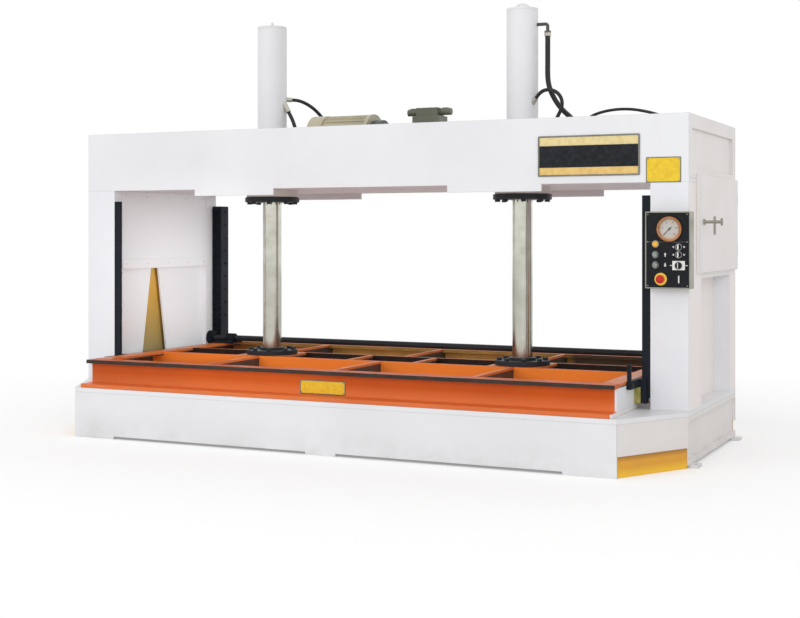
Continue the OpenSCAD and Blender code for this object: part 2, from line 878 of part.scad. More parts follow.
module motor_body() {
    x0 = motor_x - motor_l;
    half_foot = [20, 100];
    fin_start = 12;
    shield_l = 24;
    fin_l = motor_l - fin_start - shield_l;
    terminal = [90, 60, 70];
    terminal_x = motor_x - 190;
    color([0.20, 0.24, 0.26]) translate([0, unit_y, 0]) union() {
        x_rod(x0, motor_x, core_r, 0, motor_z);
        for (i = [0 : fin_n - 1])
            translate([x0 + fin_start, 0, motor_z]) rotate([i * 360 / fin_n, 0, 0])
                box([-1, core_r - 4, -fin_t / 2], [fin_l + 1, motor_d / 2 - 2, fin_t / 2]);
        x_rod(x0, x0 + fin_start, motor_d / 2, 0, motor_z);
        x_rod(motor_x - shield_l, motor_x, motor_d / 2, 0, motor_z);
        for (x = [x0 + 60, motor_x - 90])
            box([x - half_foot[0], -half_foot[1], lid_top],
                [x + half_foot[0], half_foot[1], motor_z - 0.8 * core_r]);
        translate([terminal_x, core_r - 10, motor_z - 30]) cube(terminal);
    }
}

module motor_fan_cover() {
    x1 = motor_x - motor_l;
    wall = 3;
    vent_r = 6;
    vent_n = 12;
    color([0.20, 0.24, 0.26]) translate([0, unit_y, 0]) difference() {
        x_rod(x1 - fan_l, x1, motor_d / 2, 0, motor_z);
        x_rod(x1 - fan_l + wall, x1 + 1, motor_d / 2 - wall, 0, motor_z);
        for (ring_r = [30, 60, 90], i = [0 : vent_n - 1])
            x_rod(x1 - fan_l - 1, x1 - fan_l + wall + 1, vent_r,
                ring_r * cos(i * 360 / vent_n), motor_z + ring_r * sin(i * 360 / vent_n));
    }
}

module pump_unit() {
    bell_r = 95;
    pump_r = 55;
    pump_x = motor_x + bell_l;
    port = [44, 160, 60];
    color([0.30, 0.32, 0.34]) translate([0, unit_y, 0]) union() {
        x_rod(motor_x, pump_x, bell_r, 0, motor_z);
        x_rod(pump_x - 1, pump_x + pump_l, pump_r, 0, motor_z);
        translate([pump_x + pump_l / 2, 0, motor_z]) cube(port, center = true);
    }
}

module valve_manifold() {
    color(steel) translate([manifold_x, unit_y, lid_top])
        box([-manifold_w / 2, -manifold_d / 2, 0], [manifold_w / 2, manifold_d / 2, manifold_h]);
}

module solenoid_valve() {
    coil_r = valve_h * 0.42;
    half_block = 45;
    plug = [34, 28];
    color([0.20, 0.26, 0.24]) translate([manifold_x, unit_y, valve_z]) union() {
        box([-valve_l / 2, -half_block, 0], [valve_l / 2, half_block, valve_h]);
        x_rod(-valve_l / 2 - coil_l, valve_l / 2 + coil_l, coil_r, 0, valve_h / 2);
        for (side = [-1, 1])
            translate([side * (valve_l / 2 + coil_l / 2), 0, valve_h / 2])
                box([-plug[0] / 2, -plug[1] / 2, 0], [plug[0] / 2, plug[1] / 2, valve_h / 2]);
    }
}

module tank_breather() {
    neck_h = 46;
    neck_r = 20;
    head_z = 36;
    head_h = 34;
    head_r = 34;
    color(black) translate([breather_at[0], breather_at[1], lid_top]) union() {
        cylinder(h = neck_h, r = neck_r);
        translate([0, 0, head_z]) cylinder(h = head_h, r = head_r);
    }
}

// Ferrules, elbows and bulkheads at the ends of the hoses
module hose_fittings() {
    bend = pipe_bend;
    pipe_x = cyl_x + tube_d / 2;
    drop = right_upper[0];
    color(brass) {
        difference() {
            union() {
                x_rod(pipe_x - pipe_sink, drop[0] - bend, pipe_d / 2, drop[1], pipe_z);
                translate([drop[0] - bend, drop[1], pipe_z - bend]) rotate([90, 0, 0])
                    rotate_extrude(angle = 90) translate([bend, 0]) circle(d = pipe_d);
                translate(drop) cylinder(h = pipe_z - bend - drop[2], d = pipe_d);
                translate(drop) cylinder(h = upper_ferrule, d = right_upper_d + 2 * ferrule_wall);
            }
            at_cylinders() translate([0, 0, tube_z0]) cylinder(h = tube_l, d = tube_d);
        }
        difference() {
            union() {
                ferrule(right_lower, right_lower_d, lower_ferrule);
                ferrule(left_upper, left_upper_d, left_upper_ferrule);
                ferrule(left_lower, left_lower_d, left_lower_ferrule);
            }
            at_cylinders() translate([0, 0, tube_z0]) cylinder(h = tube_l, d = tube_d);
        }
        stand_fitting(right_upper[len(right_upper) - 1], floor_top, right_upper_d);
        stand_fitting(right_lower[len(right_lower) - 1], floor_top, right_lower_d);
        stand_fitting(gauge_line[0], floor_top, gauge_line_d);
        stand_fitting(gauge_line[len(gauge_line) - 1], floor_top, gauge_line_d);
        stand_fitting(left_upper[len(left_upper) - 1], lid_top, left_upper_d);
        stand_fitting(left_lower[len(left_lower) - 1], floor_top, left_lower_d);
    }
}

module right_upper_hose() { hose(right_upper, right_upper_d); }
module right_lower_hose() { hose(right_lower, right_lower_d); }
module gauge_hose() { hose(gauge_line, gauge_line_d); }
module left_upper_hose() { hose(left_upper, left_upper_d); }
module left_lower_hose() { hose(left_lower, left_lower_d); }

// Guide rails and racks on the columns
module guide_rails() {
    color(black) both_sides()
        box([rail_x, -half_d, rail_z0], [col_in, -half_d + rail_t, rail_z1]);
}

// One rack tooth: root, tip, tip and root again, going up
function rack_tooth(z) =
    let (tip = pitch / 4 - gear_m * tan(pressure), root = pitch / 4 + 1.25 * gear_m * tan(pressure))
    [[pitch_y + 1.25 * gear_m, z - root], [pitch_y - gear_m, z - tip],
        [pitch_y - gear_m, z + tip], [pitch_y + 1.25 * gear_m, z + root]];

module rear_racks() {
    z1 = rail_z1 - rack_short;
    down = floor((shaft_z - rail_z0) / pitch) - 1;
    up = floor((z1 - shaft_z) / pitch) - 1;
    teeth = [for (k = [-down : up]) each rack_tooth(shaft_z + (k - 0.5) * pitch)];
    root_y = pitch_y + 1.25 * gear_m;
    outline = concat([[rack_back, rail_z0], [root_y, rail_z0]], teeth, [[root_y, z1], [rack_back, z1]]);
    color(black) both_sides() along_x(col_in - rack_w, rack_w) polygon(outline);
}

// Control box
module control_box() {
    w = box_wall;
    x0 = box_x - box_w / 2;
    x1 = box_x + box_w / 2;
    z0 = box_z - box_h / 2;
    z1 = box_z + box_h / 2;
    seat = panel_rim + 8;
    color(steel) difference() {
        box([x0, box_y, z0], [x1, -half_d, z1]);
        box([x0 + w, box_y + w, z0 + w], [x1 - w, -half_d - w, z1 - w]);
        box([x0 + seat, box_y - 1, z0 + seat], [x1 - seat, box_y + w + 1, z1 - seat]);
    }
}

module control_panel() {
    half_w = box_w / 2 - panel_rim;
    half_h = box_h / 2 - panel_rim;
    hole_r = stem_d / 2 + part_gap;
    color(black) difference() {
        box([box_x - half_w, face_y, box_z - half_h], [box_x + half_w, box_y, box_z + half_h]);
        for (at = [lamp_at, raise_at, lower_at, select_a, select_b, rotary_at, stop_at])
            on_panel(at) translate([0, 0, -panel_t - 1]) cylinder(h = panel_t + 2, r = hole_r);
        on_panel(gauge_at) translate([0, 0, -panel_t - 1])
            cylinder(h = panel_t + 2, d = gauge_d - 4 * bezel_w);
    }
}

// Bright rings round the buttons, the stop button's ring and the rotary switch's plate
module panel_collars() {
    ring_w = 3;
    color(steel) {
        for (at = [lamp_at, raise_at, lower_at, select_a, select_b])
            on_panel(at) difference() {
                cylinder(h = collar_h, d = cap_d + 2 * ring_w);
                translate([0, 0, -1]) cylinder(h = collar_h + 2, r = stem_d / 2 + part_gap);
            }
        on_panel(stop_at) difference() {
            cylinder(h = collar_h, d = stop_d + 20);
            translate([0, 0, -1]) cylinder(h = collar_h + 2, r = stem_d / 2 + part_gap);
        }
        on_panel(rotary_at) difference() {
            box([-rotary_plate[0] / 2, -rotary_plate[1] / 2, 0],
                [rotary_plate[0] / 2, rotary_plate[1] / 2, collar_h]);
            translate([0, 0, -1]) cylinder(h = collar_h + 2, r = stem_d / 2 + part_gap);
        }
    }
}

module gauge_case() {
    can_r = gauge_d / 2 - 2 * bezel_w - part_gap;
    can_l = 40;
    color(brass) on_panel(gauge_at) {
        difference() {
            union() {
                cylinder(h = bezel_h, d = gauge_d);
                translate([0, 0, -can_l]) cylinder(h = can_l + 1, r = can_r);
            }
            translate([0, 0, dial_h]) cylinder(h = bezel_h, r = gauge_d / 2 - bezel_w);
        }
        translate([0, 0, dial_h - 1]) cylinder(h = 6, d = pivot_d);
    }
}

module gauge_glass() {
    color([0.8, 0.9, 0.95, 0.4]) on_panel(gauge_at) translate([0, 0, bezel_h - 3])
        cylinder(h = 2, r = gauge_d / 2 - bezel_w);
}

module gauge_needle() {
    long = gauge_d * 0.34;
    tail = gauge_d * 0.12;
    color("red") on_panel(gauge_at) translate([0, 0, dial_h + 2]) difference() {
        union() {
            cylinder(h = 2, d = pivot_d + 6);
            rotate([0, 0, 225]) linear_extrude(2)
                polygon([[-tail, -2.5], [long, -0.6], [long, 0.6], [-tail, 2.5]]);
        }
        translate([0, 0, -1]) cylinder(h = 4, r = pivot_d / 2 + run_gap);
    }
}

module pilot_lamp() {
    color("gold") on_panel(lamp_at) {
        translate([0, 0, -stem_back]) cylinder(h = stem_back + collar_h, d = stem_d);
        translate([0, 0, collar_h]) rotate_extrude()
            polygon([[0, 0], [cap_d / 2, 0], [cap_d / 2, 4], [cap_d / 3, 8], [0, 9]]);
    }
}

// A push button: a cap on a stem, with room behind the cap for its travel
module push_button(at) {
    lift = collar_h + button_travel + 1;
    on_panel(at) {
        translate([0, 0, -stem_back]) cylinder(h = stem_back + lift, d = stem_d);
        translate([0, 0, lift]) cylinder(h = 7, d = cap_d);
    }
}

module raise_button() { color([0.45, 0.52, 0.48]) push_button(raise_at); }
module lower_button() { color([0.45, 0.52, 0.48]) push_button(lower_at); }

module estop_button() {
    lift = collar_h + stop_travel + 1;
    color("red") on_panel(stop_at) {
        translate([0, 0, -stem_back]) cylinder(h = stem_back + lift, d = stem_d);
        translate([0, 0, lift]) rotate_extrude()
            polygon([[0, 0], [stop_d / 2 - 3, 0], [stop_d / 2, 4], [stop_d / 2, 9], [stop_d / 2 - 4, 13],
                [0, 15]]);
    }
}

// A turning knob: a round body with a raised grip
module selector(at, diameter, grip_h) {
    on_panel(at) union() {
        translate([0, 0, -stem_back]) cylinder(h = stem_back + collar_h + 1, d = stem_d);
        translate([0, 0, collar_h + part_gap]) cylinder(h = 6, d = diameter);
        translate([0, 0, collar_h + part_gap])
            box([-4, -diameter / 2, 0], [4, diameter / 2, 6 + grip_h]);
    }
}

module selector_upper() { color([0.3, 0.33, 0.34]) selector(select_a, select_d, 9); }
module selector_lower() { color([0.3, 0.33, 0.34]) selector(select_b, select_d, 9); }
module rotary_switch() { color(black) selector(rotary_at, rotary_d, 12); }

// Platen
module pressing_plate() {
    y = press_half;
    c = press_corner;
    outline = [[-platen_x + c, -y], [platen_x - c, -y], [platen_x, -y + c], [platen_x, y - c],
        [platen_x - c, y], [-platen_x + c, y], [-platen_x, y - c], [-platen_x, -y + c]];
    color(orange) translate([0, press_y, press_z0]) linear_extrude(press_t) polygon(outline);
}

// A beam along X: a web and the bar or flange welded on it
module beam(y, half_web, half_top, top_x) {
    web_x1 = platen_x - end_t;
    translate([0, press_y + y, 0]) {
        box([-web_x1, -half_web, web_z0], [web_x1, half_web, under_flange]);
        box([-top_x, -half_top, flange_z0], [top_x, half_top, platen_top]);
    }
}

module platen_beams() {
    color(orange) for (side = [-1, 1]) {
        beam(side * beam_y, web_t / 2, flange_w / 2, platen_x);
        beam(side * mid_beam_y, plate_t / 2, plate_t / 2, end_flange_x);
    }
}

// Cross ribs, plates under the rods' feet, and flanges at both ends
module platen_ribs() {
    half_t = plate_t / 2;
    inner_y = mid_beam_y - half_t;
    outer_y = mid_beam_y + half_t;
    edge_y = beam_y - flange_w / 2;
    web_y = beam_y - web_t / 2;
    outline = [[outer_y, web_z0], [web_y, web_z0], [web_y, under_flange], [edge_y, under_flange],
        [edge_y, platen_top], [outer_y, platen_top]];
    color(orange) translate([0, press_y, 0]) {
        for (x = rib_xs) both_ways() along_x(x - half_t, plate_t) polygon(outline);
        both_sides() {
            box([mid_rib_x - half_t, -inner_y, web_z0], [mid_rib_x + half_t, inner_y, platen_top]);
            box([cyl_x - half_t, -inner_y, web_z0], [cyl_x + half_t, inner_y, under_flange]);
            box([cyl_x - foot_d / 2, -inner_y, flange_z0], [cyl_x + foot_d / 2, inner_y, platen_top]);
            box([end_flange_x, -edge_y, flange_z0], [platen_x, edge_y, platen_top]);
        }
    }
}

module platen_end_plates() {
    y = beam_y + web_t / 2;
    color(white) both_sides()
        box([platen_x - end_t, press_y - y, web_z0], [platen_x, press_y + y, flange_z0]);
}

module piston_rods() {
    color(steel) at_cylinders() union() {
        translate([0, 0, platen_top]) cylinder(h = piston_z0 + 1 - platen_top, d = rod_d);
        translate([0, 0, piston_z0]) cylinder(h = piston_h, r = bore_d / 2 - run_gap);
    }
}

module rod_flanges() {
    neck_h = 14;
    color(black) at_cylinders() translate([0, 0, platen_top]) difference() {
        union() {
            cylinder(h = foot_t, d = foot_d);
            cylinder(h = foot_t + neck_h, d = rod_d + 40);
        }
        translate([0, 0, -1]) cylinder(h = foot_t + neck_h + 2, r = rod_d / 2 + run_gap);
        on_circle(foot_pcd) translate([0, 0, -1]) cylinder(h = foot_t + 2, r = bolt_d / 2 + part_gap);
    }
}

module rod_flange_bolts() {
    color(black) at_cylinders() on_circle(foot_pcd) translate([0, 0, platen_top]) {
        cylinder(h = foot_t + bolt_head, d = bolt_d);
        translate([0, 0, foot_t]) cylinder(h = bolt_head, r = hex_r, $fn = 6);
    }
}

// Brackets that hold the platen to the front rails
module guide_bracket() {
    pad_x = platen_x + pad_t;
    jaw_x = rail_x + jaw_grip;
    front_y = -half_d - guide_gap;
    back_y = -half_d + rail_t + guide_gap;
    box([platen_x, rail_y - pad_l / 2, pad_z0], [pad_x, rail_y + pad_l / 2, platen_top]);
    box([platen_x, rail_y - arm_l, platen_top - arm_h],
        [platen_x + arm_t, rail_y + pad_l / 2, platen_top]);
    box([pad_x - 1, front_y - jaw_t, pad_z0], [jaw_x, front_y, platen_top]);
    box([pad_x - 1, back_y, pad_z0], [jaw_x, back_y + jaw_t, platen_top]);
}

// The right bracket carries a post that marks the platen's height
module guide_brackets() {
    color(black) {
        union() {
            guide_bracket();
            translate([platen_x + arm_t / 2, rail_y - arm_l + mark_post_in, platen_top - 1])
                cylinder(h = mark_post_h + 1, r = mark_post_r);
        }
        mirror([1, 0, 0]) union() guide_bracket();
    }
}

module shaft_bearings() {
    base = bearing_base;
    x0 = bearing_x - bearing_l / 2;
    x1 = bearing_x + bearing_l / 2;
    color(black) both_sides() difference() {
        union() {
            box([bearing_x - base[0] / 2, shaft_y - base[1] / 2, platen_top],
                [platen_x, shaft_y + base[1] / 2, platen_top + base[2]]);
            box([x0, shaft_y - bearing_r, platen_top], [x1, shaft_y + bearing_r, shaft_z]);
            x_rod(x0, x1, bearing_r, shaft_y, shaft_z);
        }
        x_rod(x0 - base[0], platen_x + 1, shaft_d / 2 + run_gap, shaft_y, shaft_z);
        box([x0 - 1, shaft_y - bearing_r, platen_top - bearing_r],
            [x1 + 1, shaft_y + bearing_r, platen_top]);
    }
}

// Cross shaft that keeps both ends of the platen level
module sync_shaft() {
    color(black) x_rod(-shaft_end, shaft_end, shaft_d / 2, shaft_y, shaft_z);
}

// Half the angle of a pinion tooth at radius r, and the involute that shapes its flank
function involute(r) = let (a = acos(min(1, base_r / r))) tan(a) * 180 / PI - a;
function half_tooth(r) = 90 / pinion_n - play_deg + involute(pitch_r) - involute(r);
function polar(r, a) = [r * cos(a), r * sin(a)];
function pinion_tooth(a) =
    let (steps = 4, flank = [for (i = [0 : steps]) base_r + (tip_r - base_r) * i / steps])
    concat([polar(root_r, a - half_tooth(base_r))],
        [for (r = flank) polar(r, a - half_tooth(r))],
        [for (i = [steps : -1 : 0]) polar(flank[i], a + half_tooth(flank[i]))],
        [polar(root_r, a + half_tooth(base_r))]);

module sync_pinions() {
    outline = [for (i = [0 : pinion_n - 1]) each pinion_tooth(360 * i / pinion_n)];
    color(black) both_sides() difference() {
        translate([0, shaft_y, shaft_z]) along_x(pinion_x - pinion_l / 2, pinion_l) polygon(outline);
        x_rod(pinion_x - pinion_l, pinion_x + pinion_l, shaft_d / 2 + run_gap, shaft_y, shaft_z);
    }
}

bed_plate();
base_aprons();
base_side_panels();
base_ribs();
kick_plates();
anchor_feet();
column_posts();
column_webs();
column_covers();
electrical_cabinet();
switchgear();
beam_side_plates();
beam_inner_plates();
beam_end_plates();
cylinder_tubes();
cylinder_caps();
gland_flanges();
gland_bolts();
oil_tank();
tank_lid();
motor_body();
motor_fan_cover();
pump_unit();
valve_manifold();
solenoid_valve();
tank_breather();
hose_fittings();
right_upper_hose();
right_lower_hose();
gauge_hose();
left_upper_hose();
left_lower_hose();
guide_rails();
rear_racks();
control_box();
control_panel();
gauge_case();
gauge_glass();
panel_collars();
pilot_lamp();
gauge_needle();
cabinet_door();
door_handle();
raise_button();
lower_button();
estop_button();
selector_upper();
selector_lower();
rotary_switch();
pressing_plate();
platen_beams();
platen_ribs();
platen_end_plates();
piston_rods();
rod_flanges();
rod_flange_bolts();
guide_brackets();
shaft_bearings();
sync_shaft();
sync_pinions();
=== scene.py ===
import math

import bmesh
import bpy
from mathutils import Matrix, Vector


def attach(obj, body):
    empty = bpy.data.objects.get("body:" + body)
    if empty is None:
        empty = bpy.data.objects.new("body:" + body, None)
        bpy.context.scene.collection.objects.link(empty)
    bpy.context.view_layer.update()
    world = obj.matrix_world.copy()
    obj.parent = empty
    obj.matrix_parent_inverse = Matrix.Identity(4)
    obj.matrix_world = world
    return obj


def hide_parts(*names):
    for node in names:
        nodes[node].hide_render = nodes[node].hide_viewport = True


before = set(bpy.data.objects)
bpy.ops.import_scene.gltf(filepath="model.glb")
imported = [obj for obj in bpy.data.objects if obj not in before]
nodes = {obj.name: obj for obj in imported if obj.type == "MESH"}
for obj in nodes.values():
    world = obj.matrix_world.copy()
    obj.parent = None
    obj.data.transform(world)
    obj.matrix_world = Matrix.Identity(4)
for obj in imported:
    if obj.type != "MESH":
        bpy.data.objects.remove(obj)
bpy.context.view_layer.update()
scene = bpy.context.scene

# Light levels: the sky's strength on the press, the floor's grey, what the floor adds for the camera,
# and how far from the middle the floor starts and ends its fade to plain white
SKY_FILL = 0.80
FLOOR_TONE = 0.80
FLOOR_LIFT = 0.27
FADE_FROM, FADE_TO = 2.2, 4.2

# Camera at the photograph's viewing angle
LENS = 61.46
SENSOR = 36.0
SHIFT_UP = -0.095
CAMERA_AT = (3.3593, -7.1143, 1.1402)
CAMERA_TURN = 25.3

# Places on the press, in metres: front of the beam, face of the control panel, middle of the gauge (X and Z),
# and the middle line of the cylinders and the platen
FRONT = -0.545
FACE = -0.623
GAUGE = (1.725, 1.159)
PRESS_Y = -0.115
# Platen: flange edges from the middle line, underside of the flanges, where the ribs' orange edges start,
# and the rows between the beams
FLANGE_REACH = 0.784
FLANGE_LOW = 0.404
RIB_EDGE = 0.413
FRONT_ROW = (-0.30, -0.268)
MIDDLE_ROW = (-0.268, 0.1)
REAR_ROW = (0.5, 0.625)
# Top of the gland flanges, reach and top of the guide jaws, foot of the bent pipe
GLAND_TOP = 1.3525
JAW_REACH = 1.566
JAW_TOP = (0.386, 0.384)
PIPE_FOOT = (2.215, 2.225)
# Panel: top of the stop button's ring, left edge and top of the rotary switch's plate, rows of the controls
STOP_RING_TOP = 0.952
PLATE_LEFT, PLATE_TOP = 1.735, 1.008
UPPER_ROW, LOWER_ROW, SWITCH_ROW, DOWN_ROW = 1.073, 1.036, 0.984, 0.986
ARROW_X, BUTTON_X = 1.703, 1.656
STOP_AT = (1.682, FACE - 0.0259, 0.918)
# Dial: underside and top, hole and rim, radii of the scale, the coloured zones and the figures
DIAL_LOW, DIAL_TOP = FACE - 0.0050, FACE - 0.0056
MARK_LOW, MARK_TOP = FACE - 0.0055, FACE - 0.0059
DIAL_HOLE, DIAL_RIM = 0.0034, 0.0535
SCALE_IN, SCALE_LONG_IN, SCALE_OUT = 0.0435, 0.041, 0.0475
ZONE_IN, ZONE_OUT = 0.0485, 0.0510
FIGURE_R, FIGURE_SIZE = 0.0335, 0.0105
SCALE_STEPS, LONG_STEP, RED_FROM = 40, 8, 30
# Fasteners: rails, racks, column covers, bracket arms, bearing plates and the tank's lid
RAIL_X = 1.6015
RACK_X, RACK_Y = 1.542, 0.560
COVER_ROWS = ((1.606, 0.955), (1.612, 1.360))
ARM_X, ARM_Z = 1.557, 0.4055
BEARING_X, BEARING_Z = 1.490, 0.4375
LID_Z = 1.560
PLATEN_FRONT = -0.863
# Column linings, sheets of painted shade: the outer and inner face, and the corners in Y and Z
LINING_X = (1.6995, 1.6965)
LINING_LOW, LINING_HIGH = (-0.282, 0.277), (0.390, 0.935)
FLOOR_HALF = 30

camera_data = bpy.data.cameras.new("camera")
camera_data.lens = LENS
camera_data.sensor_width = SENSOR
camera_data.shift_y = SHIFT_UP
camera = bpy.data.objects.new("camera", camera_data)
camera.location = CAMERA_AT
camera.rotation_euler = (math.radians(90), 0, math.radians(CAMERA_TURN))
scene.collection.objects.link(camera)
scene.camera = camera


# Material building blocks
def lin(r, g, b):
    """A colour written as 0-255 values, as linear values for a shader."""
    out = []
    for v in (r, g, b):
        v /= 255.0
        out.append(v / 12.92 if v <= 0.04045 else ((v + 0.055) / 1.055) ** 2.4)
    return (out[0], out[1], out[2], 1.0)


class Mat:
    """A node material with one Principled shader, and short calls for its nodes."""

    def __init__(self, name):
        self.mat = bpy.data.materials.new(name)
        self.mat.use_nodes = True
        self.tree = self.mat.node_tree
        self.tree.nodes.clear()
        out = self.node("ShaderNodeOutputMaterial")
        self.bsdf = self.node("ShaderNodeBsdfPrincipled")
        self.link(self.bsdf.outputs[0], out.inputs[0])
        self.coords = self.node("ShaderNodeTexCoord").outputs["Object"]

    def node(self, kind, **props):
        made = self.tree.nodes.new(kind)
        for key, value in props.items():
            setattr(made, key, value)
        return made

    def link(self, a, b):
        self.tree.links.new(a, b)

    def put(self, socket, value):
        if hasattr(value, "is_output"):
            self.link(value, socket)
        else:
            socket.default_value = value

    def set(self, **values):
        for key, value in values.items():
            self.put(self.bsdf.inputs[key.replace("_", " ").title().replace("Ior", "IOR")], value)

    def stretch(self, scale, at=(0, 0, 0)):
        made = self.node("ShaderNodeMapping")
        self.link(self.coords, made.inputs["Vector"])
        made.inputs["Scale"].default_value = scale
        made.inputs["Location"].default_value = at
        return made.outputs[0]

    def noise(self, scale, detail=4.0, rough=0.55, vector=None):
        made = self.node("ShaderNodeTexNoise")
        self.link(vector or self.coords, made.inputs["Vector"])
        made.inputs["Scale"].default_value = scale
        made.inputs["Detail"].default_value = detail
        made.inputs["Roughness"].default_value = rough
        return made.outputs[0]

    def span(self, value, a, b, lo=0.0, hi=1.0):
        made = self.node("ShaderNodeMapRange", clamp=True)
        self.put(made.inputs[0], value)
        for i, v in enumerate((a, b, lo, hi)):
            made.inputs[i + 1].default_value = v
        return made.outputs[0]

    def calc(self, how, a, b):
        made = self.node("ShaderNodeMath", operation=how)
        self.put(made.inputs[0], a)
        self.put(made.inputs[1], b)
        return made.outputs[0]

    def mix(self, fac, a, b):
        made = self.node("ShaderNodeMix", data_type="RGBA")
        self.put(made.inputs["Factor"], fac)
        self.put(made.inputs[6], a)
        self.put(made.inputs[7], b)
        return made.outputs[2]

    def ramp(self, fac, stops):
        made = self.node("ShaderNodeValToRGB")
        bar = made.color_ramp.elements
        while len(bar) < len(stops):
            bar.new(0.5)
        for stop, (place, colour) in zip(bar, stops):
            stop.position = place
            stop.color = colour
        self.put(made.inputs[0], fac)
        return made.outputs[0]

    def axis(self, which, vector=None):
        made = self.node("ShaderNodeSeparateXYZ")
        self.link(vector or self.coords, made.inputs[0])
        return made.outputs[which]

    def size(self, value):
        return self.calc("ABSOLUTE", value, 0.0)

    def both(self, a, b):
        return self.calc("MULTIPLY", a, b)

    def between(self, value, lo, hi):
        """A mask that is 1 where the value lies between two limits."""
        return self.both(self.calc("GREATER_THAN", value, lo), self.calc("LESS_THAN", value, hi))

    def faces(self, which):
        """How far a face's own normal points along an axis."""
        return self.axis(which, self.node("ShaderNodeNewGeometry").outputs["True Normal"])

    def spots(self, scale, detail, a, b):
        """Cloudy change from one colour to another."""
        return self.mix(self.span(self.noise(scale, detail), 0.3, 0.7), a, b)

    def edges(self, radius):
        """A softened normal, and a mask that is 1 on the edges."""
        soft = self.node("ShaderNodeBevel", samples=4)
        soft.inputs["Radius"].default_value = radius
        face = self.node("ShaderNodeNewGeometry").outputs["True Normal"]
        dot = self.node("ShaderNodeVectorMath", operation="DOT_PRODUCT")
        self.link(soft.outputs[0], dot.inputs[0])
        self.link(face, dot.inputs[1])
        return soft.outputs[0], self.span(dot.outputs["Value"], 0.99, 0.80)

    def bump(self, height, strength, distance, normal=None):
        made = self.node("ShaderNodeBump")
        made.inputs["Strength"].default_value = strength
        made.inputs["Distance"].default_value = distance
        self.link(height, made.inputs["Height"])
        if normal:
            self.link(normal, made.inputs["Normal"])
        self.link(made.outputs[0], self.bsdf.inputs["Normal"])


def paint(name, base, shade, wear_and_highlight, rough=0.38, wear=0.5, grime=0.25, specular=0.5, edge=0.004,
          change=None):
    """Sprayed enamel: cloudy colour, faint runs, orange peel, rubbed edges in a colour that is partly real
    wear and partly painted edge highlight, and dust near the floor.
    """
    m = Mat(name)
    cloud = m.span(m.noise(1.4, 5.0), 0.35, 0.72)
    runs = m.span(m.noise(1.0, 3.0, vector=m.stretch((9.0, 9.0, 0.7))), 0.45, 0.8, 0.0, 0.45)
    colour = m.mix(m.calc("MAXIMUM", cloud, runs), base, shade)
    if change:
        colour = change(m, colour)
    normal, rim = m.edges(edge)
    # Edge colour: partly rubbed paint, partly a painted edge highlight
    rubbed_and_highlight = m.calc("MULTIPLY", rim, m.span(m.noise(38.0, 5.0, 0.7), 0.42, 0.66, 0.0, wear))
    colour = m.mix(rubbed_and_highlight, colour, wear_and_highlight)
    low = m.span(m.axis(2), 0.16, 0.0)
    dust = m.calc("MULTIPLY", low, m.span(m.noise(6.0, 6.0, 0.65), 0.35, 0.75, 0.0, grime))
    colour = m.mix(dust, colour, lin(150, 140, 122))
    m.set(base_color=colour,
          roughness=m.span(m.noise(7.0, 5.0), 0.3, 0.75, rough - 0.07, rough + 0.09))
    m.bsdf.inputs["Specular IOR Level"].default_value = specular
    m.bump(m.noise(420.0, 2.0), 0.10, 0.0006, normal)
    return m.mat


def metal(name, base, shade, rough, grain=(1, 1, 1), scale=60.0, depth=0.05, edge=0.002, change=None):
    """Bare metal with a grain: brushed, drawn or turned, by the stretch of the noise."""
    m = Mat(name)
    lines = m.noise(scale, 4.0, 0.6, m.stretch(grain))
    normal = m.edges(edge)[0]
    colour = m.mix(m.span(m.noise(11.0, 4.0), 0.3, 0.75), base, shade)
    if change:
        colour = change(m, colour)
    m.set(base_color=colour, metallic=1.0,
          roughness=m.span(lines, 0.3, 0.7, rough * 0.75, rough * 1.3))
    m.bump(lines, depth, 0.0005, normal)
    return m.mat


def plastic(name, base, shade, rough=0.45, grain=700.0, depth=0.12, specular=0.5):
    """Moulded plastic with a fine skin."""
    m = Mat(name)
    colour = m.mix(m.span(m.noise(45.0, 4.0), 0.35, 0.7), base, shade)
    normal = m.edges(0.0015)[0]
    m.set(base_color=colour,
          roughness=m.span(m.noise(25.0, 3.0), 0.3, 0.7, rough - 0.06, rough + 0.08))
    m.bsdf.inputs["Specular IOR Level"].default_value = specular
    m.bump(m.noise(grain, 2.0), depth, 0.0003, normal)
    return m.mat


def rubber(name):
    """Black hose rubber with a faint wrap along the hose."""
    m = Mat(name)
    wrap = m.noise(90.0, 3.0, 0.6, m.stretch((1.0, 1.0, 5.0)))
    m.set(base_color=m.spots(14.0, 4.0, lin(8, 10, 12), lin(26, 27, 24)),
          roughness=m.span(wrap, 0.3, 0.7, 0.34, 0.50))
    m.bump(wrap, 0.25, 0.0006)
    return m.mat


def banded(name, axis, stops, lo, hi, rough):
    """A surface whose colour changes along one axis, such as the painted shade inside a hollow column."""
    m = Mat(name)
    blur = m.calc("ADD", m.axis(axis), m.span(m.noise(8.0, 5.0), 0.2, 0.8, -0.04, 0.04))
    m.set(base_color=m.ramp(m.span(blur, lo, hi), stops),
          roughness=m.span(m.noise(20.0), 0.3, 0.7, rough - 0.1, rough))
    m.bump(m.noise(160.0), 0.15, 0.0008)
    return m.mat


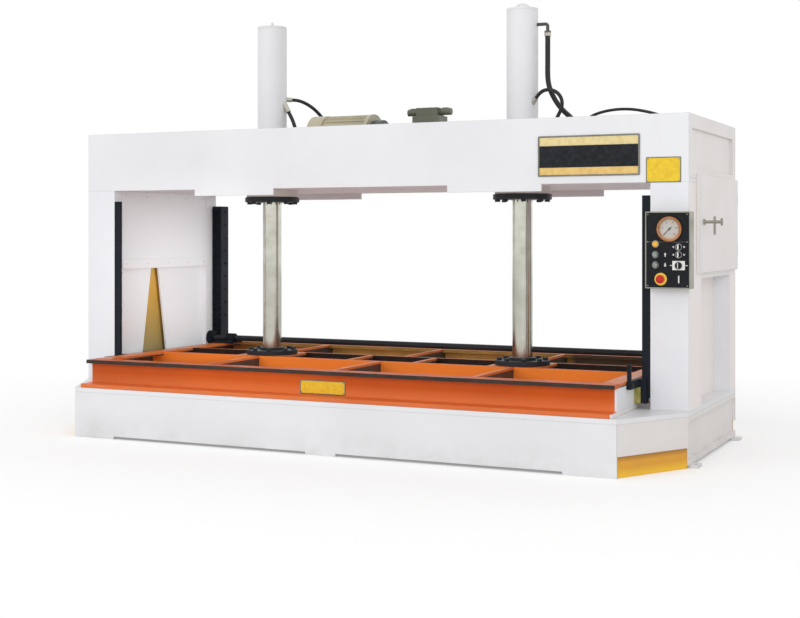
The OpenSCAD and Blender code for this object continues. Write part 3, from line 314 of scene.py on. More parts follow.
def beam_shades(m, colour):
    """Painted light on the webs' foot and the front row, painted shade at the left end and in the middle and
    rear rows, and dark flange edges.
    """
    x, y, z = m.axis(0), m.axis(1), m.axis(2)
    side = m.calc("GREATER_THAN", m.size(m.faces(1)), 0.5)
    # Painted light: paler towards the foot of the webs, below the flanges' shade
    colour = m.mix(m.span(z, 0.36, 0.305, 0.0, 0.75), colour, lin(236, 136, 76))
    # Painted light: brighter faces in the front row
    colour = m.mix(m.both(side, m.between(y, *FRONT_ROW)), colour, lin(250, 142, 56))
    # Painted shade: olive in the rear row, cloudy, and darker at its right end
    rear_row_shade = m.mix(m.span(m.noise(9.0, 5.0), 0.35, 0.7), lin(220, 186, 104), lin(180, 158, 92))
    rear_row_shade = m.mix(m.span(x, 0.80, 0.86), rear_row_shade, lin(96, 94, 78))
    colour = m.mix(m.both(side, m.between(y, *REAR_ROW)), colour, rear_row_shade)
    # Painted shade: darker towards the left end
    colour = m.mix(m.span(x, -0.7, -1.4, 0.0, 0.30), colour, lin(168, 68, 20))
    # Darker flange edges
    dark_flange_edge = m.calc("GREATER_THAN", m.size(m.calc("ADD", y, -PRESS_Y)), FLANGE_REACH)
    dark_flange_edge = m.both(m.both(side, dark_flange_edge), m.calc("GREATER_THAN", z, FLANGE_LOW))
    colour = m.mix(dark_flange_edge, colour, m.spots(14.0, 4.0, lin(50, 42, 37), lin(66, 54, 46)))
    # Painted shade: dark faces in the middle row
    middle_row_shade = m.both(side, m.between(y, *MIDDLE_ROW))
    return m.mix(middle_row_shade, colour, m.spots(14.0, 4.0, lin(34, 28, 25), lin(46, 37, 31)))


def rib_shades(m, colour):
    """Ribs with orange edges and painted shade on their sides."""
    side = m.calc("GREATER_THAN", m.size(m.faces(0)), 0.5)
    # Painted shade: dark sides of the ribs
    dark = m.spots(8.0, 5.0, lin(50, 58, 58), lin(70, 72, 66))
    return m.mix(m.both(side, m.calc("LESS_THAN", m.axis(2), RIB_EDGE)), colour, dark)


def bracket_shades(m, colour):
    """Black bracket arms over jaws with an olive painted shade."""
    # Painted shade: olive on the jaws under the arms
    jaw_shade = m.spots(30.0, 4.0, lin(178, 168, 96), lin(140, 136, 70))
    inner = m.calc("LESS_THAN", m.size(m.axis(0)), JAW_REACH)
    return m.mix(m.both(inner, m.span(m.axis(2), *JAW_TOP)), colour, jaw_shade)


def plate_shades(m, colour):
    """A pressing plate with white ends."""
    return m.mix(m.calc("GREATER_THAN", m.size(m.faces(0)), 0.4), colour, lin(236, 234, 232))


def end_shades(m, colour):
    """White end plates with painted shade on their inner faces."""
    inward = m.calc("LESS_THAN", m.both(m.faces(0), m.axis(0)), -0.5)
    # Painted shade: dark inner faces
    return m.mix(inward, colour, lin(70, 62, 55))


def wall_shades(m, colour):
    """Column plates with a warm painted shade on their outer faces and painted light on the faces towards the
    platen.
    """
    outward = m.both(m.faces(0), m.axis(0))
    # Painted shade: warmer and darker on the outward faces
    colour = m.mix(m.calc("GREATER_THAN", outward, 0.5), colour, lin(246, 239, 236))
    # Painted light: brighter on the inward faces
    return m.mix(m.calc("LESS_THAN", outward, -0.5), colour, lin(246, 251, 254))


def gland_shades(m, colour):
    """Black gland flanges with white bosses over them."""
    return m.mix(m.calc("GREATER_THAN", m.axis(2), GLAND_TOP), colour, lin(226, 222, 214))


def kick_shades(m, colour):
    """Amber with a painted shadow under the corner panel and painted light near the floor."""
    z = m.axis(2)
    # Painted light: brighter near the floor
    colour = m.mix(m.span(z, 0.045, 0.012), colour, lin(250, 198, 46))
    # Painted shadow under the corner panel
    return m.mix(m.span(z, 0.070, 0.092, 0.0, 0.6), colour, lin(150, 98, 40))


def pipe_shades(m, colour):
    """Bright fittings under a dark bent pipe."""
    return m.mix(m.span(m.axis(2), *PIPE_FOOT), colour, lin(92, 92, 88))


# Paints: colour, its cloudy shade, and the colour of rubbed edges, partly real wear and partly a painted edge
# highlight
WHITE = paint("white_enamel", lin(238, 239, 242), lin(229, 228, 230), lin(176, 172, 166),
              rough=0.40, wear=0.35)
# Painted shade: a warmer, darker copy of the white enamel for the faces on the machine's sides
SHADED_SIDE = paint("side_enamel_painted_shade", lin(237, 233, 231), lin(228, 223, 220), lin(176, 170, 162),
             rough=0.40, wear=0.35)
ENDS = paint("end_enamel", lin(238, 239, 242), lin(229, 228, 230), lin(176, 172, 166),
             rough=0.40, wear=0.35, change=end_shades)
FOLDED = paint("folded_enamel", lin(238, 239, 243), lin(229, 229, 233), lin(170, 168, 164),
               rough=0.42, wear=0.35)
# Painted light and shade on the column plates, by the way their faces point
WALLS = paint("wall_enamel", lin(238, 239, 243), lin(229, 229, 233), lin(170, 168, 164),
              rough=0.42, wear=0.35, change=wall_shades)
ORANGE = paint("orange_enamel", lin(234, 122, 56), lin(218, 104, 44), lin(244, 176, 128),
               rough=0.42, wear=0.6, grime=0.15, change=plate_shades)
BEAMS = paint("beam_enamel", lin(216, 99, 16), lin(194, 80, 16), lin(240, 172, 128),
              rough=0.45, wear=0.6, grime=0.1, specular=0.25, edge=0.003, change=beam_shades)
RIBS = paint("rib_enamel", lin(230, 128, 54), lin(214, 108, 44), lin(244, 190, 150),
             rough=0.42, wear=0.6, grime=0.1, specular=0.4, edge=0.003, change=rib_shades)
BLACK = paint("blue_black_enamel", lin(20, 25, 32), lin(30, 36, 44), lin(84, 90, 96),
              rough=0.5, wear=0.4, grime=0.1, specular=0.18)
OILED = paint("oiled_black", lin(36, 40, 45), lin(50, 54, 58), lin(100, 104, 108),
              rough=0.45, wear=0.5, grime=0.1, specular=0.3)
GLANDS = paint("gland_enamel", lin(36, 40, 45), lin(50, 54, 58), lin(100, 104, 108),
               rough=0.45, wear=0.5, grime=0.1, specular=0.3, change=gland_shades)
BRACKET = paint("bracket_enamel", lin(20, 25, 32), lin(30, 36, 44), lin(96, 98, 84),
                rough=0.5, wear=0.4, grime=0.1, specular=0.18, change=bracket_shades)
YELLOW = paint("yellow_enamel", lin(236, 174, 48), lin(222, 152, 42), lin(196, 160, 90),
               rough=0.42, wear=0.5, grime=0.1, change=kick_shades)
GREY = paint("machine_grey", lin(66, 74, 70), lin(84, 92, 86), lin(140, 144, 140),
             rough=0.44, wear=0.6, grime=0.1)
MOTOR = paint("motor_enamel", lin(206, 198, 172), lin(140, 134, 110), lin(226, 222, 208),
              rough=0.40, wear=0.7, grime=0.1)
VALVE = paint("valve_enamel", lin(84, 86, 70), lin(112, 112, 96), lin(196, 196, 188),
              rough=0.36, wear=0.8, grime=0.1)

# Bare metals: colour, its cloudy shade, roughness, stretch and scale of the grain, and its depth
CHROME = metal("chromed_rod", lin(222, 222, 212), lin(196, 195, 180), 0.14, (1, 1, 14), 45.0, 0.02)
STEEL = metal("brushed_steel", lin(178, 177, 166), lin(156, 155, 142), 0.34, (1, 8, 8), 70.0, 0.06)
ZINC = metal("zinc_fittings", lin(206, 203, 192), lin(176, 170, 152), 0.30, (6, 6, 1), 80.0, 0.08,
             change=pipe_shades)
BRASS = metal("copper_bezel", lin(214, 150, 96), lin(186, 116, 66), 0.36, (4, 1, 4), 90.0, 0.06)
SILVER = metal("silver_trim", lin(150, 150, 142), lin(120, 120, 112), 0.34, (12, 1, 1), 60.0, 0.05)

# Rubber and plastics: colour, its cloudy shade, roughness, scale of the skin, its depth, and gloss
RUBBER = rubber("hose_rubber")
PANEL = plastic("panel_black", lin(20, 22, 26), lin(30, 32, 36), 0.46, 600.0, 0.10, 0.2)
DARK = plastic("black_plastic", lin(26, 28, 30), lin(42, 44, 46), 0.45, 700.0, 0.12, 0.3)
GREYPLAST = plastic("grey_plastic", lin(122, 128, 122), lin(98, 106, 100), 0.45)
BUTTON = plastic("button_green_grey", lin(150, 160, 152), lin(118, 130, 122), 0.32)
PALE = plastic("pale_plastic", lin(232, 232, 226), lin(214, 214, 206), 0.42)
RED = plastic("red_plastic", lin(214, 34, 26), lin(180, 22, 20), 0.26, 900.0, 0.05)
LAMP = plastic("amber_lens", lin(250, 190, 60), lin(234, 150, 40), 0.22, 300.0, 0.25)
LABEL = plastic("yellow_label", lin(244, 208, 44), lin(230, 188, 36), 0.46, 300.0, 0.10)
GOLD = plastic("gold_band", lin(236, 200, 124), lin(222, 182, 104), 0.44)
IVORY = plastic("ivory_band", lin(236, 218, 160), lin(222, 200, 140), 0.44)
INK = plastic("dark_band", lin(24, 26, 30), lin(40, 42, 46), 0.46, 700.0, 0.12, 0.2)
GREEN = plastic("green_ink", lin(88, 130, 84), lin(70, 112, 70))
# Painted shade inside the columns, olive low down and gold higher up
SHADE_LINING = banded("column_inside_painted_shade", 2, [(0.0, lin(150, 142, 110)), (0.45, lin(200, 170, 96)),
                                     (0.8, lin(236, 190, 92)), (1.0, lin(244, 206, 116))], 0.30, 0.93, 0.8)


def collar_material():
    """Bright rings, the stop button's yellow ring and the rotary switch's pale plate, told apart by place."""
    m = Mat("panel_rings")
    x, z = m.axis(0), m.axis(2)
    low = m.calc("LESS_THAN", z, STOP_RING_TOP)
    plate = m.both(m.calc("GREATER_THAN", x, PLATE_LEFT), m.calc("LESS_THAN", z, PLATE_TOP))
    tone = m.spots(60.0, 4.0, lin(176, 178, 176), lin(150, 152, 150))
    colour = m.mix(low, m.mix(plate, tone, lin(236, 236, 230)), lin(246, 206, 70))
    coated = m.calc("MAXIMUM", low, plate)
    m.set(base_color=colour, metallic=m.calc("SUBTRACT", 1.0, coated),
          roughness=m.span(m.noise(120.0), 0.3, 0.7, 0.28, 0.42))
    m.bump(m.noise(300.0), 0.08, 0.0003)
    return m.mat


def dial_material():
    """A pale dial with a warm rim, shaded by the distance from its middle."""
    m = Mat("dial_face")
    at = m.stretch((1, 0, 1), (-GAUGE[0], 0, -GAUGE[1]))
    far = m.node("ShaderNodeVectorMath", operation="LENGTH")
    m.link(at, far.inputs[0])
    rings = m.ramp(m.span(far.outputs["Value"], 0.0, 0.054),
                   [(0.0, lin(244, 238, 234)), (0.70, lin(240, 226, 216)),
                    (0.86, lin(236, 190, 150)), (1.0, lin(222, 150, 96))])
    m.set(base_color=m.mix(m.span(m.noise(60.0), 0.4, 0.8, 0.0, 0.3), rings, lin(230, 214, 204)),
          roughness=m.span(m.noise(200.0), 0.3, 0.7, 0.5, 0.6))
    return m.mat


def glass_material():
    """Clear glass with faint smears."""
    m = Mat("clear_glass")
    m.set(base_color=(0.96, 0.98, 0.98, 1.0), transmission_weight=1.0, ior=1.45,
          roughness=m.span(m.noise(30.0, 5.0), 0.5, 0.8, 0.0, 0.10))
    return m.mat


for names, mat in [
        ("bed_plate base_aprons base_ribs anchor_feet beam_side_plates", WHITE),
        ("cylinder_tubes cylinder_caps", WHITE),
        # The side panels, beam ends and cabinet carry the painted side shade
        ("base_side_panels beam_end_plates cabinet_door electrical_cabinet", SHADED_SIDE),
        ("platen_end_plates", ENDS),
        ("column_posts column_webs column_covers", WALLS),
        ("beam_inner_plates", FOLDED),
        ("pressing_plate", ORANGE),
        ("platen_beams", BEAMS),
        ("platen_ribs", RIBS),
        ("guide_brackets", BRACKET),
        ("guide_rails rear_racks shaft_bearings sync_pinions", BLACK),
        ("gland_bolts rod_flanges rod_flange_bolts sync_shaft", OILED),
        ("gland_flanges", GLANDS),
        ("kick_plates", YELLOW),
        ("oil_tank tank_lid pump_unit", GREY),
        ("motor_body motor_fan_cover", MOTOR),
        ("solenoid_valve valve_manifold", VALVE),
        ("piston_rods", CHROME),
        ("control_box door_handle", STEEL),
        ("hose_fittings", ZINC),
        ("gauge_case", BRASS),
        ("control_panel", PANEL),
        ("tank_breather rotary_switch selector_upper selector_lower", DARK),
        ("raise_button lower_button switchgear", GREYPLAST),
        ("gauge_needle", INK),
        ("estop_button", RED),
        ("pilot_lamp", LAMP),
        ("gauge_glass", glass_material()),
        ("panel_collars", collar_material())]:
    for name in names.split():
        data = nodes[name].data
        data.materials.clear()
        data.materials.append(mat)


# Mesh building blocks
def piece(name, bm, mat, body):
    """Turns a bmesh in the part's frame into a piece that rides on a body."""
    mesh = bpy.data.meshes.new(name)
    bmesh.ops.recalc_face_normals(bm, faces=bm.faces)
    bm.to_mesh(mesh)
    bm.free()
    mesh.materials.append(mat)
    made = bpy.data.objects.new(name, mesh)
    scene.collection.objects.link(made)
    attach(made, body)
    return made


def facing(at, axis):
    """A transform that stands +Z along axis at a point."""
    turn = Vector((0, 0, 1)).rotation_difference(Vector(axis)).to_matrix().to_4x4()
    return Matrix.Translation(Vector(at)) @ turn


def circle(r, count):
    """Points round a circle, as pairs."""
    turns = [2 * math.pi * i / count for i in range(count)]
    return [(r * math.cos(t), r * math.sin(t)) for t in turns]


def stitch(bm, rings):
    """Faces between each ring of points and the next."""
    for a, b in zip(rings, rings[1:]):
        for i in range(len(a)):
            j = (i + 1) % len(a)
            bm.faces.new((a[i], a[j], b[j], b[i]))


def skin(bm, rings):
    """A closed form through rings of points."""
    stitch(bm, rings)
    bm.faces.new(rings[0][::-1])
    bm.faces.new(rings[-1])


def lathe(bm, where, profile, count=24):
    """A turned form through pairs of radius and height."""
    skin(bm, [[bm.verts.new(where @ Vector((x, y, h))) for x, y in circle(r, count)] for r, h in profile])


def socket_screw(bm, at, axis, r):
    """A round head with a socket."""
    profile = ((0.98, -0.1), (1.0, 0.06), (1.0, 0.30), (0.86, 0.56), (0.52, 0.66), (0.44, 0.62), (0.42, 0.25))
    lathe(bm, facing(at, axis), [(k * r, h * r) for k, h in profile], 18)


def hex_bolt(bm, at, axis, r):
    """A washer and a chamfered hexagon head."""
    where = facing(at, axis)
    lathe(bm, where, [(1.5 * r, -0.0002), (1.5 * r, 0.16 * r), (1.42 * r, 0.22 * r)], 24)
    head = ((1.12, 0.22), (1.12, 0.85), (1.008, 0.98), (0.56, 1.0))
    lathe(bm, where, [(k * r, h * r) for k, h in head], 6)


def front_screws(bm, xs, zs, y, r):
    """Screws that face the front, at each X and Z."""
    for x in xs:
        for z in zs:
            socket_screw(bm, (x, y, z), (0, -1, 0), r)


def outline(x0, x1, z0, z1, r, steps=6):
    """A rectangle with round corners, as points in X and Z."""
    pts = []
    corners = ((x1 - r, z1 - r, 0), (x0 + r, z1 - r, 90), (x0 + r, z0 + r, 180), (x1 - r, z0 + r, 270))
    for cx, cz, a in corners:
        for i in range(steps + 1):
            t = math.radians(a + 90 * i / steps)
            pts.append((cx + r * math.cos(t), cz + r * math.sin(t)))
    return pts


def front_plate(bm, pts, y_back, y_front, ease=0.0006):
    """A plate facing the front, with an eased front edge."""
    mx = sum(p[0] for p in pts) / len(pts)
    mz = sum(p[1] for p in pts) / len(pts)
    reach = max(math.hypot(p[0] - mx, p[1] - mz) for p in pts)
    skin(bm, [[bm.verts.new((mx + (x - mx) * k, y, mz + (z - mz) * k)) for x, z in pts]
              for y, k in ((y_back, 1.0), (y_front + ease, 1.0), (y_front, 1.0 - ease / reach))])


def frame_ring(bm, outer, inner, y_back, y_front):
    """A flat frame between two outlines with the same number of points."""
    rows = [[bm.verts.new((x, y, z)) for x, z in pts]
            for pts, y in ((outer, y_back), (outer, y_front), (inner, y_front), (inner, y_back))]
    stitch(bm, rows + rows[:1])


def soft_box(bm, lo, hi, bevel, segments):
    """A box between two corners, with eased edges."""
    made = bmesh.ops.create_cube(bm, size=1.0)["verts"]
    for v in made:
        v.co = Vector([lo[i] + (v.co[i] + 0.5) * (hi[i] - lo[i]) for i in range(3)])
    edges = list({e for v in made for e in v.link_edges})
    bmesh.ops.bevel(bm, geom=edges, offset=bevel, segments=segments, affect="EDGES", profile=0.6)


# Hoses: the routes of the solids, in metres
def smooth(points, steps=4):
    """A finer route through the same points."""
    pts = [Vector(p) for p in points]
    out = []
    for i in range(len(pts) - 1):
        a = pts[max(i - 1, 0)]
        b, c = pts[i], pts[i + 1]
        d = pts[min(i + 2, len(pts) - 1)]
        for k in range(steps):
            t = k / steps
            out.append(0.5 * (2 * b + (c - a) * t + (2 * a - 5 * b + 4 * c - d) * t * t
                              + (3 * b - a - 3 * c + d) * t ** 3))
    return out + [pts[-1]]


def hose(name, node, diameter, points):
    """A hose that replaces its solid and goes into a fitting at each end."""
    route = smooth(points)
    curve = bpy.data.curves.new(name, "CURVE")
    curve.dimensions = "3D"
    curve.bevel_depth = diameter / 2
    curve.bevel_resolution = 5
    curve.use_fill_caps = True
    line = curve.splines.new("POLY")
    line.points.add(len(route) - 1)
    for spot, co in zip(line.points, route):
        spot.co = (co.x, co.y, co.z, 1.0)
    curve.materials.append(RUBBER)
    made = bpy.data.objects.new(name, curve)
    scene.collection.objects.link(made)
    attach(made, "frame")
    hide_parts(node)


hose("upper_hose_right", "right_upper_hose", 0.028, [
    (0.932, -0.115, 2.202), (0.932, -0.115, 2.137), (0.932, -0.115, 2.068), (0.932, -0.115, 2.000),
    (0.936, -0.115, 1.951), (0.949, -0.115, 1.906), (0.969, -0.115, 1.865), (0.994, -0.115, 1.827),
    (1.024, -0.115, 1.793), (1.056, -0.115, 1.764), (1.086, -0.115, 1.731), (1.109, -0.115, 1.693),
    (1.123, -0.115, 1.650), (1.128, -0.115, 1.600), (1.128, -0.115, 1.530), (1.128, -0.115, 1.450)])
hose("lower_hose_right", "right_lower_hose", 0.020, [
    (0.880, -0.155, 1.867), (0.898, -0.159, 1.887), (0.922, -0.165, 1.902), (0.951, -0.170, 1.907),
    (0.980, -0.175, 1.902), (1.005, -0.177, 1.889), (1.024, -0.179, 1.868), (1.034, -0.180, 1.841),
    (1.033, -0.181, 1.811), (1.021, -0.181, 1.781), (1.003, -0.181, 1.747), (0.988, -0.181, 1.709),
    (0.978, -0.181, 1.666), (0.973, -0.181, 1.618), (0.972, -0.181, 1.540), (0.972, -0.181, 1.450)])
hose("gauge_pressure_hose", "gauge_hose", 0.016, [
    (1.060, 0.035, 1.450), (1.060, 0.035, 1.540), (1.062, 0.035, 1.620), (1.072, 0.034, 1.690),
    (1.094, 0.032, 1.740), (1.130, 0.029, 1.772), (1.178, 0.026, 1.790), (1.236, 0.023, 1.801),
    (1.300, 0.020, 1.805), (1.364, 0.017, 1.801), (1.424, 0.014, 1.790), (1.484, 0.011, 1.774),
    (1.540, 0.008, 1.752), (1.592, 0.006, 1.722), (1.634, 0.005, 1.682), (1.662, 0.005, 1.630),
    (1.674, 0.005, 1.570), (1.676, 0.005, 1.510), (1.676, 0.005, 1.450)])
hose("upper_hose_left", "left_upper_hose", 0.020, [
    (-0.690, -0.051, 1.930), (-0.664, -0.034, 1.928), (-0.638, -0.013, 1.919), (-0.614, 0.013, 1.903),
    (-0.592, 0.043, 1.880), (-0.573, 0.076, 1.850), (-0.556, 0.108, 1.813), (-0.542, 0.137, 1.771),
    (-0.531, 0.161, 1.725), (-0.524, 0.177, 1.678), (-0.520, 0.185, 1.632), (-0.520, 0.185, 1.590)])
hose("lower_hose_left", "left_lower_hose", 0.022, [
    (-0.675, -0.115, 1.852), (-0.663, -0.115, 1.831), (-0.649, -0.115, 1.804), (-0.637, -0.115, 1.774),
    (-0.627, -0.115, 1.741), (-0.620, -0.115, 1.706), (-0.616, -0.115, 1.670), (-0.615, -0.115, 1.630),
    (-0.615, -0.115, 1.580), (-0.615, -0.115, 1.520), (-0.615, -0.115, 1.450)])

# Plates on the beam and the platen, all blank
bm = bmesh.new()
frame_ring(bm, outline(1.030, 1.558, 1.425, 1.630, 0.006), outline(1.038, 1.550, 1.433, 1.622, 0.003),
           FRONT, FRONT - 0.005)
piece("name_plate_frame", bm, SILVER, "frame")
for name, low, high, mat, slot in (("name_plate_top_band", 1.580, 1.623, IVORY, "white_paint"),
                                   ("name_plate_middle", 1.470, 1.579, INK, "panel_black"),
                                   ("name_plate_low_band", 1.432, 1.469, GOLD, "fittings_brass")):
    bm = bmesh.new()
    front_plate(bm, outline(1.037, 1.551, low, high, 0.002), FRONT, FRONT - 0.003)
    piece(name, bm, mat, "frame")
bm = bmesh.new()
front_screws(bm, (1.034, 1.554), (1.429, 1.626), FRONT - 0.005, 0.0030)
piece("name_plate_rivets", bm, STEEL, "frame")


def notice(name, body, x0, x1, z0, z1, y):
    """A blank yellow notice in a thin dark frame, held by rivets."""
    bm = bmesh.new()
    front_plate(bm, outline(x0, x1, z0, z1, 0.004), y, y - 0.0012)
    piece(name, bm, LABEL, body)
    bm = bmesh.new()
    frame_ring(bm, outline(x0 - 0.002, x1 + 0.002, z0 - 0.002, z1 + 0.002, 0.005),
               outline(x0 + 0.003, x1 - 0.003, z0 + 0.003, z1 - 0.003, 0.003), y, y - 0.0018)
    piece(name + "_frame", bm, SILVER, body)
    bm = bmesh.new()
    front_screws(bm, (x0 + 0.008, x1 - 0.008), (z0 + 0.008, z1 - 0.008), y - 0.0012, 0.003)
    piece(name + "_rivets", bm, STEEL, body)


notice("beam_notice", "frame", 1.590, 1.760, 1.389, 1.510, FRONT)
notice("platen_notice", "platen", -0.173, 0.091, 0.301, 0.371, PLATEN_FRONT)

# Painted shade: olive sheets inside the columns, darker towards the bottom, seen through the slots in the
# column webs
for side, name in ((-1, "left"), (1, "right")):
    bm = bmesh.new()
    a, b = sorted(side * x for x in LINING_X)
    soft_box(bm, (a, *LINING_LOW), (b, *LINING_HIGH), 0.0008, 1)
    piece("column_shade_lining_" + name, bm, SHADE_LINING, "frame")

# Control panel: dial, marks, arrows, pointers and screws
bm = bmesh.new()
section = ((DIAL_HOLE, DIAL_LOW), (DIAL_HOLE, DIAL_TOP), (DIAL_RIM, DIAL_TOP), (DIAL_RIM, DIAL_LOW))
dial_rows = [[bm.verts.new((GAUGE[0] + x, y, GAUGE[1] + z)) for x, z in circle(r, 64)] for r, y in section]
stitch(bm, dial_rows + dial_rows[:1])
piece("gauge_dial", bm, dial_material(), "frame")


def dial_angle(i):
    """The angle of one step of the scale, which turns clockwise through 270 degrees."""
    return 225 - i * 270 / SCALE_STEPS


def dial_mark(bm, i, r0, r1, half):
    """A flat mark on the dial, from one radius to another."""
    t = math.radians(dial_angle(i))
    out = Vector((math.cos(t), 0, math.sin(t)))
    side = Vector((-math.sin(t), 0, math.cos(t))) * half
    middle = Vector((GAUGE[0], 0, GAUGE[1]))
    flat = [middle + out * r + side * k for r, k in ((r0, -1), (r1, -1), (r1, 1), (r0, 1))]
    skin(bm, [[bm.verts.new(p + Vector((0, y, 0))) for p in flat] for y in (MARK_LOW, MARK_TOP)])


bm = bmesh.new()
for i in range(SCALE_STEPS + 1):
    if i % LONG_STEP == 0:
        dial_mark(bm, i, SCALE_LONG_IN, SCALE_OUT, 0.0007)
    else:
        dial_mark(bm, i, SCALE_IN, SCALE_OUT, 0.0004)
piece("dial_scale", bm, INK, "frame")
bm = bmesh.new()
for i in range(RED_FROM, SCALE_STEPS + 1):
    dial_mark(bm, i, ZONE_IN, ZONE_OUT, 0.0021)
piece("dial_red_zone", bm, RED, "frame")
bm = bmesh.new()
for i in range(RED_FROM):
    dial_mark(bm, i, ZONE_IN, ZONE_OUT, 0.0021)
piece("dial_green_zone", bm, GREEN, "frame")


def text_mesh(name, words, size, at, mat):
    """Flat figures that face the front."""
    curve = bpy.data.curves.new(name, "FONT")
    curve.body = words
    curve.size = size
    curve.extrude = 0.0002
    curve.align_x = "CENTER"
    curve.align_y = "CENTER"
    tmp = bpy.data.objects.new(name, curve)
    scene.collection.objects.link(tmp)
    mesh = bpy.data.meshes.new_from_object(tmp.evaluated_get(bpy.context.evaluated_depsgraph_get()))
    bpy.data.objects.remove(tmp)
    mesh.transform(Matrix.Translation(at) @ Matrix.Rotation(math.radians(90), 4, "X"))
    mesh.materials.clear()
    mesh.materials.append(mat)
    made = bpy.data.objects.new(name, mesh)
    scene.collection.objects.link(made)
    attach(made, "frame")


for i, words in enumerate(("0", "5", "10", "15", "20", "25")):
    t = math.radians(dial_angle(LONG_STEP * i))
    at = (GAUGE[0] + FIGURE_R * math.cos(t), FACE - 0.0058, GAUGE[1] + FIGURE_R * math.sin(t))
    text_mesh("dial_figure_" + words, words, FIGURE_SIZE, at, INK)


def mark(bm, pts):
    """A thin mark on the control panel."""
    front_plate(bm, pts, FACE, FACE - 0.0005, 0.0001)


def arrow(cx, cz, size, up):
    """The outline of an arrow that points up or down."""
    s = size if up else -size
    pts = [(cx - 0.28 * size, cz - s), (cx + 0.28 * size, cz - s), (cx + 0.28 * size, cz),
           (cx + 0.7 * size, cz), (cx, cz + s), (cx - 0.7 * size, cz), (cx - 0.28 * size, cz)]
    return pts if up else pts[::-1]


bm = bmesh.new()
mark(bm, arrow(ARROW_X, LOWER_ROW, 0.010, True))
mark(bm, arrow(ARROW_X, DOWN_ROW, 0.010, False))
for z in (UPPER_ROW, LOWER_ROW):
    for x, k in ((1.742, -1), (1.796, 1)):
        mark(bm, [(x - 0.004 * k, z - 0.006), (x + 0.005 * k, z), (x - 0.004 * k, z + 0.006)][::k])
for x0, x1 in ((1.726, 1.738), (1.800, 1.812)):
    mark(bm, outline(x0, x1, SWITCH_ROW - 0.002, SWITCH_ROW + 0.002, 0.0015, 3))
mark(bm, outline(1.766, 1.772, 0.899, 0.936, 0.002, 3))
piece("panel_marks", bm, PALE, "frame")
bm = bmesh.new()
front_screws(bm, (1.618, 1.810), (0.886, 1.097, 1.230), FACE, 0.0035)
piece("panel_screws", bm, STEEL, "frame")
bm = bmesh.new()
mark(bm, outline(1.610, 1.818, 1.0965, 1.0975, 0.0004, 2))
piece("panel_seam", bm, STEEL, "frame")
for body, z in (("selector_a", UPPER_ROW), ("selector_b", LOWER_ROW)):
    bm = bmesh.new()
    front_plate(bm, outline(1.7652, 1.7728, z - 0.0122, z + 0.0122, 0.002, 4),
                FACE - 0.0193, FACE - 0.0203, 0.0003)
    piece("pointer_" + body, bm, PALE, body)
bm = bmesh.new()
front_plate(bm, outline(1.7670, 1.7710, SWITCH_ROW - 0.014, SWITCH_ROW + 0.014, 0.0015, 4),
            FACE - 0.0223, FACE - 0.0231, 0.0003)
piece("pointer_rotary", bm, PALE, "rotary")
for body, z in (("raise", LOWER_ROW), ("lower", DOWN_ROW)):
    bm = bmesh.new()
    lathe(bm, facing((BUTTON_X, FACE - 0.0159, z), (0, -1, 0)),
          [(0.0105, 0.0), (0.0105, 0.0007), (0.0095, 0.0012), (0.004, 0.0016)], 28)
    piece("button_cap_" + body, bm, BUTTON, body)
bm = bmesh.new()
lathe(bm, facing(STOP_AT, (0, -1, 0)),
      [(0.0115, 0.0), (0.0115, 0.0004), (0.010, 0.0008)], 28)
piece("stop_cap_disc", bm, RED, "estop")

# Fasteners that hold the rails, racks, covers, brackets, bearings and lid
bm = bmesh.new()
for side in (-1, 1):
    for i in range(9):
        z = 0.60 + i * 0.085
        socket_screw(bm, (side * RAIL_X, FRONT, z), (0, -1, 0), 0.006)
        socket_screw(bm, (side * RACK_X, RACK_Y, z), (-side, 0, 0), 0.008)
piece("rail_and_rack_screws", bm, DARK, "frame")
bm = bmesh.new()
for side in (-1, 1):
    for y in (-0.43, -0.22, 0.0, 0.20, 0.39):
        for x, z in COVER_ROWS:
            socket_screw(bm, (side * x, y, z), (-side, 0, 0), 0.006)
piece("cover_screws", bm, FOLDED, "frame")
bm = bmesh.new()
for side in (-1, 1):
    for y in (-0.690, -0.610):
        hex_bolt(bm, (side * ARM_X, y, ARM_Z), (side, 0, 0), 0.008)
    for y in (0.413, 0.507):
        hex_bolt(bm, (side * BEARING_X, y, BEARING_Z), (0, 0, 1), 0.007)
piece("bracket_bolts", bm, DARK, "platen")
bm = bmesh.new()
for x in (-0.545, -0.33, -0.07, 0.19, 0.405):
    for y in (-0.243, 0.193):
        hex_bolt(bm, (x, y, LID_Z), (0, 0, 1), 0.006)
piece("lid_bolts", bm, STEEL, "frame")

# Floor, backdrop light and lamps
floor_mesh = bpy.data.meshes.new("floor")
corners = [(FLOOR_HALF * a, FLOOR_HALF * b, 0) for a, b in ((-1, -1), (1, -1), (1, 1), (-1, 1))]
floor_mesh.from_pydata(corners, [], [(0, 1, 2, 3)])
floor = bpy.data.objects.new("floor", floor_mesh)
scene.collection.objects.link(floor)


def shader_tree(owner):
    """An empty node tree for a material or the world."""
    owner.use_nodes = True
    owner.node_tree.nodes.clear()
    return owner.node_tree


def link_chain(tree, *pairs):
    """Links each output to its input."""
    for a, b in pairs:
        tree.links.new(a, b)


# The floor keeps the shadow near the press and fades to plain white away from it
ground = bpy.data.materials.new("pale_floor")
tree = shader_tree(ground)
add = tree.nodes.new
out, both, fade = add("ShaderNodeOutputMaterial"), add("ShaderNodeAddShader"), add("ShaderNodeMixShader")
matte, glow, plain = add("ShaderNodeBsdfDiffuse"), add("ShaderNodeEmission"), add("ShaderNodeEmission")
path, lift, near = add("ShaderNodeLightPath"), add("ShaderNodeMath"), add("ShaderNodeMath")
place, size, away = add("ShaderNodeTexCoord"), add("ShaderNodeVectorMath"), add("ShaderNodeMapRange")
matte.inputs["Color"].default_value = (FLOOR_TONE, FLOOR_TONE, FLOOR_TONE, 1.0)
lift.operation = "MULTIPLY"
lift.inputs[1].default_value = FLOOR_LIFT
near.operation = "MULTIPLY"
size.operation = "LENGTH"
away.inputs[1].default_value = FADE_FROM
away.inputs[2].default_value = FADE_TO
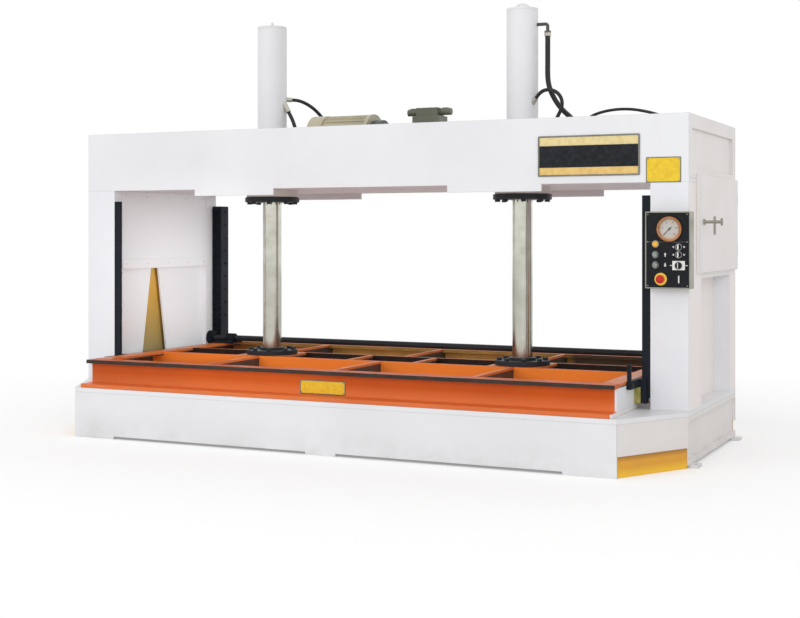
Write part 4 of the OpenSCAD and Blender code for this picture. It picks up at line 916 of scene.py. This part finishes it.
link_chain(tree,
           (path.outputs["Is Camera Ray"], lift.inputs[0]), (lift.outputs[0], glow.inputs["Strength"]),
           (matte.outputs[0], both.inputs[0]), (glow.outputs[0], both.inputs[1]),
           (place.outputs["Object"], size.inputs[0]), (size.outputs["Value"], away.inputs[0]),
           (away.outputs[0], near.inputs[0]), (path.outputs["Is Camera Ray"], near.inputs[1]),
           (near.outputs[0], fade.inputs[0]), (both.outputs[0], fade.inputs[1]),
           (plain.outputs[0], fade.inputs[2]), (fade.outputs[0], out.inputs[0]))
floor_mesh.materials.append(ground)

world = bpy.data.worlds.new("studio")
scene.world = world
tree = shader_tree(world)
add = tree.nodes.new
out, sky, path = add("ShaderNodeOutputWorld"), add("ShaderNodeBackground"), add("ShaderNodeLightPath")
seen, through, level = add("ShaderNodeMath"), add("ShaderNodeMath"), add("ShaderNodeMapRange")
sky.inputs["Color"].default_value = (1.0, 1.0, 1.0, 1.0)
seen.operation = "MAXIMUM"
through.operation = "MAXIMUM"
level.inputs[3].default_value = SKY_FILL
level.inputs[4].default_value = 1.0
link_chain(tree,
           (path.outputs["Is Camera Ray"], seen.inputs[0]), (path.outputs["Is Glossy Ray"], seen.inputs[1]),
           (seen.outputs[0], through.inputs[0]), (path.outputs["Is Transmission Ray"], through.inputs[1]),
           (through.outputs[0], level.inputs[0]), (level.outputs[0], sky.inputs["Strength"]),
           (sky.outputs[0], out.inputs[0]))


def hang(name, data, at, aim):
    """A lamp that only lights, and shows neither to the camera nor in gloss."""
    lamp = bpy.data.objects.new(name, data)
    lamp.location = at
    lamp.rotation_euler = (Vector(aim) - Vector(at)).to_track_quat("-Z", "Y").to_euler()
    lamp.visible_camera = False
    lamp.visible_glossy = False
    scene.collection.objects.link(lamp)


def softbox(name, at, aim, size, power):
    data = bpy.data.lights.new(name, "AREA")
    data.shape = "RECTANGLE"
    data.size, data.size_y = size
    data.energy = power
    hang(name, data, at, aim)


def spot(name, at, aim, cone, power, radius):
    data = bpy.data.lights.new(name, "SPOT")
    data.spot_size = math.radians(cone)
    data.spot_blend = 0.5
    data.shadow_soft_size = radius
    data.energy = power
    hang(name, data, at, aim)


softbox("key_light", (5.5, -10.0, 3.2), (0, 0, 0.9), (5.0, 4.0), 190.0)
softbox("left_light", (-4.0, -8.5, 3.6), (0, 0, 0.9), (5.0, 4.0), 110.0)
spot("wall_light", (2.6, -3.6, 0.95), (-1.62, 0.08, 0.84), 11.5, 560.0, 0.30)

scene.view_settings.view_transform = "Standard"
